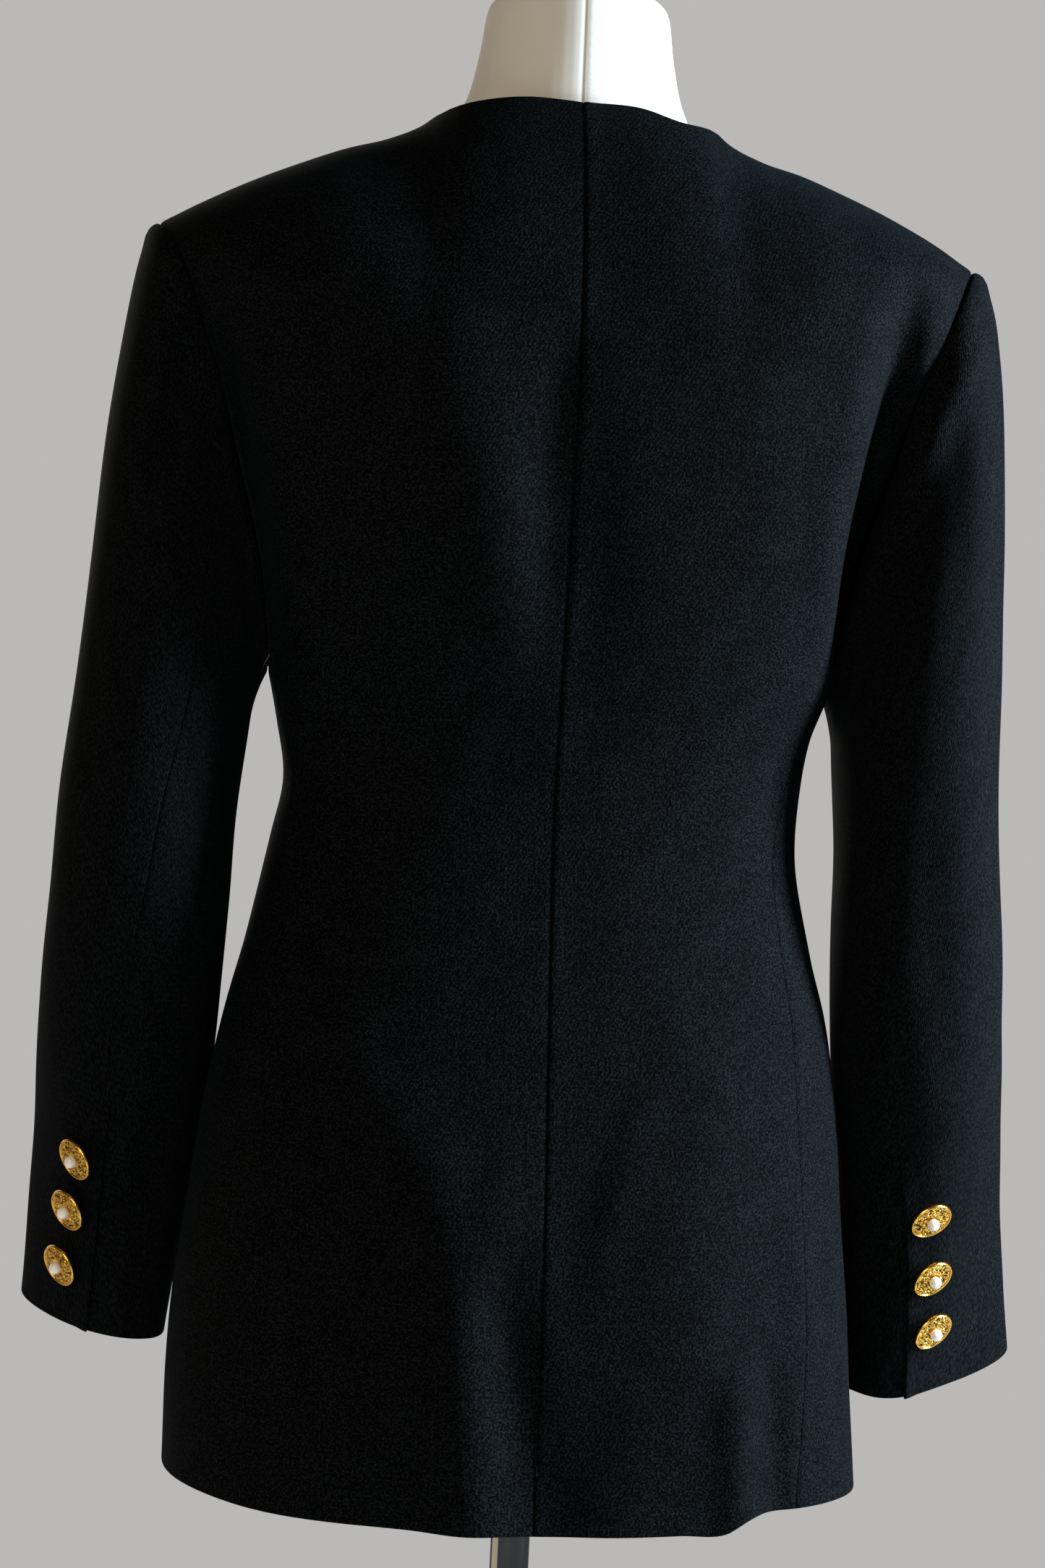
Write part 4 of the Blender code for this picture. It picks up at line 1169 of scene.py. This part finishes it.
def buttonSurface(seed):
    # turned profile; its face carries nuggets between a beaded rim and the pearl's cup:
    # each place takes the facet of its nearest seed point, with its own height and tilt,
    # and drops to a groove where two seeds are equally near
    radius, pearl, cup, shank = (button[k] for k in ("radius", "pearl", "cup", "shank"))
    back, foot = button["stand"], button["restGap"]
    top = back + button["dish"]
    profile = table(
        "r h face",
        (0.0, top - cup, 0.0),
        (pearl * 0.75, top - cup * 0.8, 0.0),
        (pearl * 1.12, top - 0.0004, 0.0),
        (pearl * 1.22, top - 0.0001, 0.1),
        (pearl * 1.34, top - 0.0002, 0.7),
        (radius * 0.60, top - 0.0002, 1.0),
        (radius * 0.86, top - 0.0006, 0.7),
        (radius * 0.895, top - 0.0009, 0.0),
        (radius * 0.92, top - 0.0002, 0.0),
        (radius * 0.96, top - 0.0001, 0.0),
        (radius * 0.99, top - 0.0006, 0.0),
        (radius, top - 0.0011, 0.0),
        (radius * 0.985, back + 0.0006, 0.0),
        (radius * 0.94, back + 0.0001, 0.0),
        (radius * 0.60, back - 0.0002, 0.0),
        (shank * 1.1, back - 0.0004, 0.0),
        (shank, back - 0.0009, 0.0),
        (shank, foot, 0.0),
        (0.0, foot, 0.0),
    )
    steps = np.hypot(np.diff(profile["r"]), np.diff(profile["h"]))
    length = np.concatenate([[0.0], np.cumsum(steps)])
    edge = int(np.argmax(profile["r"]))
    faceRows = np.linspace(0.0, length[edge], button["faceRows"])[1:-1]
    t = np.concatenate([faceRows, length[edge:-1], [length[-1] - 0.0006]])
    r, h, face = (np.interp(t, length, profile[k])[:, None] for k in ("r", "h", "face"))
    onFace = (t < length[edge])[:, None]
    x, y, turn = around(r, button["turns"])
    k = np.arange(button["nuggets"]) + 0.5
    inner, outer = pearl * 1.25, radius * 0.88
    ring = np.sqrt(inner**2 + (outer**2 - inner**2) * k / button["nuggets"])
    rng = np.random.default_rng(seed)
    # the golden angle from each to the next, a little uneven
    spin = k * 2.39996 + rng.normal(0.0, button["spinScatter"], len(k))
    ring = ring + rng.normal(0.0, button["ringScatter"], len(k))
    seedX, seedY = ring * np.cos(spin), ring * np.sin(spin)
    gap = np.hypot(x[..., None] - seedX, y[..., None] - seedY)
    nearest = np.argmin(gap, axis=-1)
    order = np.partition(gap, 1, axis=-1)
    between = np.clip((order[..., 1] - order[..., 0]) / button["groove"], 0.0, 1.0)
    tilt = rng.normal(0.0, button["nuggetTilt"], (2, len(k)))
    rise = rng.uniform(-button["nuggetRise"], button["nuggetRise"], len(k))[nearest]
    lean = tilt[0][nearest] * (x - seedX[nearest]) + tilt[1][nearest] * (y - seedY[nearest])
    nugget = np.sqrt(1 - (1 - between) ** 2) * (1 + rise + lean / button["nuggetHeight"])
    nugget = np.clip(nugget, -0.2, 1.4)
    beads = (0.5 + 0.5 * np.cos(button["beads"] * turn)) * onFace
    rim = bell(r - radius * button["beadRing"], button["beadWidth"])
    rim = rim * button["beadHeight"] * beads
    height = h + face * onFace * button["nuggetHeight"] * (nugget - 0.75) + rim
    points = spread(x, y, height)
    # painted shade: the grooves between nuggets are coloured dark, where shade would fall
    deep = 1 - np.clip((nugget - 0.25) / 0.75, 0.0, 1.0)
    shade = 1 - np.minimum(face * onFace * 2, 1) * deep
    return *closedTurn(points, profile["h"][0], foot), [*shade.ravel(), 1.0, 1.0]


def pearlSurface():
    # a ball, seated in the cup
    radius = button["pearl"]
    centre = button["stand"] + button["dish"] - button["cup"] + button["restGap"] + radius
    lean = np.linspace(0.0, np.pi, button["pearlRings"])[1:-1, None]
    x, y, _ = around(radius * np.sin(lean), button["pearlTurns"])
    points = spread(x, y, centre + radius * np.cos(lean))
    return closedTurn(points, centre + radius, centre - radius)


def clothTree(piece):
    face = piece.points + piece.relief[..., None] * piece.out
    quads = gridQuads(*piece.relief.shape)
    return BVHTree.FromPolygons(face.reshape(-1, 3).tolist(), quads.tolist())


def seat(tree, outward, near, droop, toLeft=0.0):
    # on the cloth at its nearest point, with the face turned down by the droop and then
    # round the upright to the wearer's left
    point, out, _, _ = tree.find_nearest(Vector(near))
    if out.dot(Vector(outward)) < 0:
        out = -out
    sideways = out.cross(Vector((0.0, 0.0, 1.0))).normalized()
    axis = Matrix.Rotation(np.radians(-droop), 3, sideways) @ out
    axis = Matrix.Rotation(np.radians(-toLeft), 3, "Z") @ axis
    point = point + out * (button["lift"] if droop else 0.0)
    return Matrix.Translation(point) @ axis.to_track_quat("Z", "Y").to_matrix().to_4x4()


def buttonSeats():
    seats = {}
    for side in sideSign:
        piece = cloths["topSleeveCloth_" + side]
        tree = clothTree(piece)
        outward = piece.out[piece.points.shape[0] * 3 // 4, 12]    # near the buttons
        for i, (z, beside, droop, toLeft) in enumerate(zip(*cuffButtons[side].values()), 1):
            turn = np.radians(look(sleeveSections[side], "elbow", z) - beside)
            near = sleevePoint(side, turn, 2 * z - sleevePoint(side, turn, z)[2])
            seats[f"{side}_cuff_{i}"] = seat(tree, outward, near, droop, toLeft)
    tree = clothTree(cloths["frontCloth_right"])
    for i, z in enumerate(frontButtonZ, 1):
        near = bodyPoint("right", np.pi, z)
        seats[f"front_{i}"] = seat(tree, (0.0, -1.0, 0.0), near, 0.0)
    return seats


def castGold():
    # die-cast zinc with a bright gold plating: warm highlights, and painted shade that darkens
    # the recesses
    made, tree = newMaterial("goldPlate")
    place = addNode(tree, "TexCoord").outputs["Object"]
    values = {"Scale": button["goldGrain"], "Detail": 2.0}
    grain = addNode(tree, "TexNoise", values, {"Vector": place})
    # the shade attribute is painted shade, dark in the grooves between nuggets
    shade = addNode(tree, "Attribute", attribute_name="shade")
    ends, links = mixEnds(*button["goldColours"]), {"Factor": shade.outputs["Fac"]}
    colour = addNode(tree, "Mix", ends, links, data_type="RGBA")
    values = fromTo("To", button["goldRoughness"])
    rough = addNode(tree, "MapRange", values, {"Value": grain})
    links = {"Base Color": colour.outputs[2], "Roughness": rough}
    return finishMaterial(made, {"Metallic": 1.0}, links)


def pearlCoat():
    # moulded bead under many coats of pearl lacquer: soft inner glow, one clear highlight
    settings = {
        "Base Color": linearColour(button["pearlColour"]),
        "Roughness": button["pearlRoughness"],
        "Coat Weight": button["lacquer"],
        "Coat Roughness": button["lacquerRoughness"],
        "Subsurface Weight": button["glow"],
        "Subsurface Scale": button["glowDepth"],
    }
    return finishMaterial(newMaterial("pearlLacquer")[0], settings)


def moved(points, place):
    return points @ np.array(place.to_3x3()).T + np.array(place.translation)


goldMaterial, pearlMaterial = castGold(), pearlCoat()
for number, (name, place) in enumerate(buttonSeats().items(), button["firstSeed"]):
    points, faces, shade = buttonSurface(number)
    points = moved(points, place)
    disc = makePiece("goldButton_" + name, points, faces, [goldMaterial], shade=shade)
    standIn(disc, "button_" + name)
    points, faces = pearlSurface()
    bead = makePiece("pearlBead_" + name, moved(points, place), faces, [pearlMaterial])
    standIn(bead, "pearl_" + name)
    mine = np.array([v.co for v in disc.data.vertices])
    off = (mine.min(0) + mine.max(0) - np.sum(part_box("button_" + name), 0)) / 2
    print(name, "button is %.2f mm from its solid" % (np.linalg.norm(off) * 1000))
print("buttons built")


# ---- dress form: a smooth bust under a knitted cover, with a seam down the middle of the back

form = {
    "inset": 0.0014,         # under the jacket the cover stays clear of the lining
    "insetTop": 1.428,
    "insetFade": 0.012,
    "seamDepth": 0.0005,
    "seamWidth": 0.0011,
    "ringsBetween": 9,
    "turns": 200,
    "neckTop": 1.5022,
    "foot": 0.800,
    "colours": ("#cfcbc2", "#d9d6ce"),
    "mottle": 45.0,
    "seamColour": "#9c8d74",
    "seamShade": (0.0004, 0.0012),      # it fades out between these distances
    "loops": (1100.0, 900.0, 1.0),      # to a metre round the form and up it
    "loopHeight": 0.00010,
    "loopStrength": 0.25,
    "flatEnd": (1.4985, 1.5010),        # the loops fade out on the neck's flat end
    "roughness": 0.92,
    "gloss": 0.2,
    "sheen": 0.10,
    "sheenRoughness": 0.6,
}
formRings = table(
    "side_x side_z back_y back_z front_y front_z square",
    (0.120, 0.800, 0.080, 0.800, 0.080, 0.800, 2.3),
    (0.146, 0.803, 0.104, 0.803, 0.096, 0.803, 2.3),
    (0.152, 0.830, 0.108, 0.830, 0.100, 0.830, 2.3),
    (0.140, 0.920, 0.092, 0.920, 0.092, 0.920, 2.3),
    (0.118, 1.045, 0.064, 1.040, 0.080, 1.045, 2.3),
    (0.124, 1.120, 0.074, 1.130, 0.098, 1.110, 2.4),
    (0.140, 1.200, 0.090, 1.210, 0.112, 1.180, 2.5),
    (0.158, 1.280, 0.098, 1.290, 0.104, 1.250, 2.5),
    (0.172, 1.340, 0.092, 1.335, 0.088, 1.310, 2.2),
    (0.172, 1.364, 0.084, 1.365, 0.074, 1.350, 2.0),
    (0.156, 1.388, 0.074, 1.388, 0.062, 1.378, 1.9),
    (0.125, 1.4072, 0.064, 1.406, 0.056, 1.398, 1.8),
    (0.095, 1.4160, 0.056, 1.422, 0.053, 1.416, 1.8),
    (0.073, 1.4235, 0.0530, 1.434, 0.052, 1.432, 1.9),
    (0.060, 1.442, 0.0515, 1.448, 0.051, 1.446, 2.0),
    (0.0535, 1.468, 0.0505, 1.470, 0.050, 1.468, 2.0),
    (0.0500, 1.492, 0.0485, 1.492, 0.048, 1.492, 2.0),
    (0.0455, 1.499, 0.0450, 1.499, 0.045, 1.499, 2.0),
    (0.0360, 1.502, 0.0360, 1.502, 0.036, 1.502, 2.0),
)


def formSurface():
    # rings blended by their places between the table's rows; a ring's height goes from its
    # middle back or front value to its side value by the squared cosine
    known = np.arange(len(formRings["square"]), dtype=float)
    ring = np.linspace(0.0, known[-1], int(known[-1]) * form["ringsBetween"] + 1)
    row = {k: curve(ring, known, v)[:, None] for k, v in formRings.items()}
    straight = np.interp(ring, known, formRings["side_x"])[:, None]
    row["side_x"] = np.minimum(straight, row["side_x"])
    angle = 2 * np.pi * np.arange(form["turns"]) / form["turns"]
    exponent = 2 / row["square"]
    x = row["side_x"] * signedPower(np.sin(angle), exponent)
    behind = np.cos(angle) > 0
    y = np.where(behind, row["back_y"], row["front_y"])
    y = y * signedPower(np.cos(angle), exponent)
    middle = np.where(behind, row["back_z"], row["front_z"])
    z = row["side_z"] + (middle - row["side_z"]) * np.cos(angle) ** 2
    points = spread(x, y, z)
    wrapped = np.concatenate([points[:, -1:], points, points[:, :1]], axis=1)
    across = (wrapped[:, 2:] - wrapped[:, :-2]) / 2
    out = unit(np.cross(np.gradient(points, axis=0), across))
    out = out * np.sign(out[len(out) // 2, 0, 1])
    under = 1 - softStep((z - form["insetTop"]) / form["insetFade"])
    seam = form["seamDepth"] * bell(x, form["seamWidth"]) * behind
    return points - (form["inset"] * under + seam)[..., None] * out


def knittedCover():
    # off-white cotton jersey pulled over padding: fine upright ribs, quite matt, and a
    # sewn seam a shade darker down the middle of the back
    made, tree = newMaterial("cottonJersey")
    place = addNode(tree, "TexCoord").outputs["Object"]
    parts = addNode(tree, "SeparateXYZ", links={0: place}).outputs
    away = addNode(tree, "Math", links={0: parts["X"]}, operation="ABSOLUTE")
    values = {**fromTo("From", form["seamShade"]), **fromTo("To", (1.0, 0.0))}
    seam = addNode(tree, "MapRange", values, {"Value": away})
    rear = addNode(tree, "Math", {1: 0.0}, {0: parts["Y"]}, operation="GREATER_THAN")
    sewn = addNode(tree, "Math", links={0: seam, 1: rear}, operation="MULTIPLY")
    values = {"Scale": form["mottle"], "Detail": 4.0}
    mottle = addNode(tree, "TexNoise", values, {"Vector": place})
    ends = mixEnds(*form["colours"])
    cloth = addNode(tree, "Mix", ends, {"Factor": mottle}, data_type="RGBA")
    ends, links = {7: linearColour(form["seamColour"])}, {"Factor": sewn, 6: cloth.outputs[2]}
    colour = addNode(tree, "Mix", ends, links, data_type="RGBA")
    uv = addNode(tree, "UVMap", uv_map="cloth")
    loops = addNode(tree, "Mapping", {"Scale": form["loops"]}, {"Vector": uv})
    knit = addNode(tree, "TexNoise", {"Scale": 1.0, "Detail": 2.0}, {"Vector": loops})
    values = {"Scale": 0.05, "Distortion": 0.6, "Detail": 1.0}
    ribs = addNode(tree, "TexWave", values, {"Vector": loops})
    links = {0: knit, 2: ribs.outputs["Fac"]}
    height = addNode(tree, "Math", {1: 0.8}, links, operation="MULTIPLY_ADD")
    loopEnds = fromTo("To", (form["loopStrength"], 0.0))
    values = {**fromTo("From", form["flatEnd"]), **loopEnds}
    fade = addNode(tree, "MapRange", values, {"Value": parts["Z"]})
    links = {"Strength": fade, "Height": height}
    bump = addNode(tree, "Bump", {"Distance": form["loopHeight"]}, links)
    settings = {
        "Roughness": form["roughness"],
        "Specular IOR Level": form["gloss"],
        "Sheen Weight": form["sheen"],
        "Sheen Roughness": form["sheenRoughness"],
    }
    return finishMaterial(made, settings, {"Base Color": colour.outputs[2], "Normal": bump})


formGrid = formSurface()
points, faces = closedTurn(formGrid, form["neckTop"], form["foot"])
wrapped = np.concatenate([formGrid, formGrid[:, :1]], axis=1)
aroundLength = arcLengths(wrapped.swapaxes(0, 1)).T[:, :-1]
coverUv = np.stack([aroundLength, arcLengths(formGrid)], -1).reshape(-1, 2)
coverUv = np.concatenate([coverUv, np.zeros((2, 2))])
faces = [part[:, ::-1] for part in faces]
cover = makePiece("formCover", points, faces, [knittedCover()], uv=coverUv)
standIn(cover, "dress_form")
print("dress form built")


# ---- stand: bright pole and pressed base

stand = {
    "poleRadius": 0.0105,
    "poleFoot": 0.0143,
    "poleTop": 0.7997,
    "poleCorner": 0.0010,
    "poleTurns": 96,
    "baseTurns": 160,
    "colour": "#c4c8cb",
    "roughness": (0.05, 0.16),
    "haze": 38.0,
    "baseProfile": [         # radius and height, from the top's middle round to the underside's
        (0.004, 0.014), (0.030, 0.014), (0.034, 0.01385), (0.110, 0.01345), (0.150, 0.0126),
        (0.159, 0.0120), (0.1625, 0.0106), (0.1643, 0.0085), (0.1650, 0.0060),
        (0.1650, 0.0028), (0.1644, 0.0008), (0.1630, 0.0), (0.150, 0.0), (0.004, 0.0),
    ],
}


def brightChrome():
    # chrome plate on steel: clear cool reflections with the faint haze of handling
    made, tree = newMaterial("chromePlate")
    place = addNode(tree, "TexCoord").outputs["Object"]
    values = {"Scale": stand["haze"], "Detail": 5.0}
    haze = addNode(tree, "TexNoise", values, {"Vector": place})
    values = fromTo("To", stand["roughness"])
    rough = addNode(tree, "MapRange", values, {"Value": haze})
    settings = {"Base Color": linearColour(stand["colour"]), "Metallic": 1.0}
    return finishMaterial(made, settings, {"Roughness": rough})


def turnedPiece(name, profile, turns, material):
    # the profile's points (radius, height) carried round the axis, top first
    r, h = np.array(profile, float).T[:, :, None]
    x, y, _ = around(r, turns)
    points, faces = closedTurn(spread(x, y, h), profile[0][1], profile[-1][1])
    return makePiece(name, points, faces, [material])


def roundOver(radius, height, size, fromTop):
    # a quarter circle between a flat end and a straight side
    lean = np.linspace(0.0, np.pi / 2, 7)
    out = radius - size + size * np.sin(lean)
    drop = size - size * np.cos(lean)
    corner = np.stack([out, height - drop if fromTop else height + drop], -1)
    return corner if fromTop else corner[::-1]


chrome = brightChrome()
poleEnds = [(stand["poleTop"], True), (stand["poleFoot"], False)]
corners = [roundOver(stand["poleRadius"], z, stand["poleCorner"], top) for z, top in poleEnds]
middles = [[[0.002, z]] for z, _ in poleEnds]
poleProfile = np.concatenate([middles[0], *corners, middles[1]])
pole = turnedPiece("chromePole", poleProfile, stand["poleTurns"], chrome)
base = turnedPiece("chromeBase", stand["baseProfile"], stand["baseTurns"], chrome)
standIn(pole, "pole")
standIn(base, "base")
print("stand built")


# ---- floor, light and surroundings

studio = {
    "floorHalf": 2.9,
    "floorColour": "#d5d4d1",
    "floorRoughness": 0.7,
    "backdrop": (0.49, 0.485, 0.48, 1.0),
    "ambientColour": (0.94, 0.97, 1.0, 1.0),
    "ambient": 0.06,
    "lights": {
        # place, aimed at, width and height in metres, power in watts, colour
        "windowRight": ((-1.48, 0.34, 1.42), (-0.05, 0.0, 1.03), (0.3, 1.2), 130.0, "#d8edff"),
        "roomBehindCamera": ((0.9, 2.5, 1.6), (0.0, 0.0, 1.20), (1.6, 1.6), 30.0, "#ffecd2"),
        "wallLeft": ((2.3, -0.7, 0.9), (0.15, 0.0, 0.95), (2.4, 2.0), 8.0, "#ffe3bd"),
        "frontRoom": ((0.6, -2.4, 1.9), (0.0, 0.0, 1.1), (1.8, 1.8), 30.0, "#fff8ef"),
    },
}


def addStudio():
    half = studio["floorHalf"]
    corners = [(-half, -half, 0), (half, -half, 0), (half, half, 0), (-half, half, 0)]
    settings = {"Base Color": linearColour(studio["floorColour"])}
    settings["Roughness"] = studio["floorRoughness"]
    paint = finishMaterial(newMaterial("paintedFloor")[0], settings)
    makePiece("floor", corners, [np.arange(4)[None]], [paint])
    # the camera sees an even backdrop, and the jacket is lit by a fainter sky
    world = bpy.data.worlds.new("studio")
    bpy.context.scene.world = world
    world.use_nodes = True
    tree = world.node_tree
    tree.nodes.clear()
    seen = addNode(tree, "Background", {"Color": studio["backdrop"], "Strength": 1.0})
    values = {"Color": studio["ambientColour"], "Strength": studio["ambient"]}
    lit = addNode(tree, "Background", values)
    path = addNode(tree, "LightPath")
    mix = addNode(tree, "MixShader", links={0: path.outputs["Is Camera Ray"], 1: lit, 2: seen})
    addNode(tree, "OutputWorld", links={"Surface": mix})
    for name, (place, target, size, power, colour) in studio["lights"].items():
        light = bpy.data.lights.new(name, "AREA")
        light.shape = "RECTANGLE"
        light.size, light.size_y = size
        light.energy = power
        light.color = linearColour(colour)[:3]
        way = Vector(target) - Vector(place)
        addHolder(name, light, place, way.to_track_quat("-Z", "Y").to_matrix())
    view = bpy.context.scene.view_settings
    view.view_transform = "Standard"
    view.look = "None"


addStudio()
print("studio set")
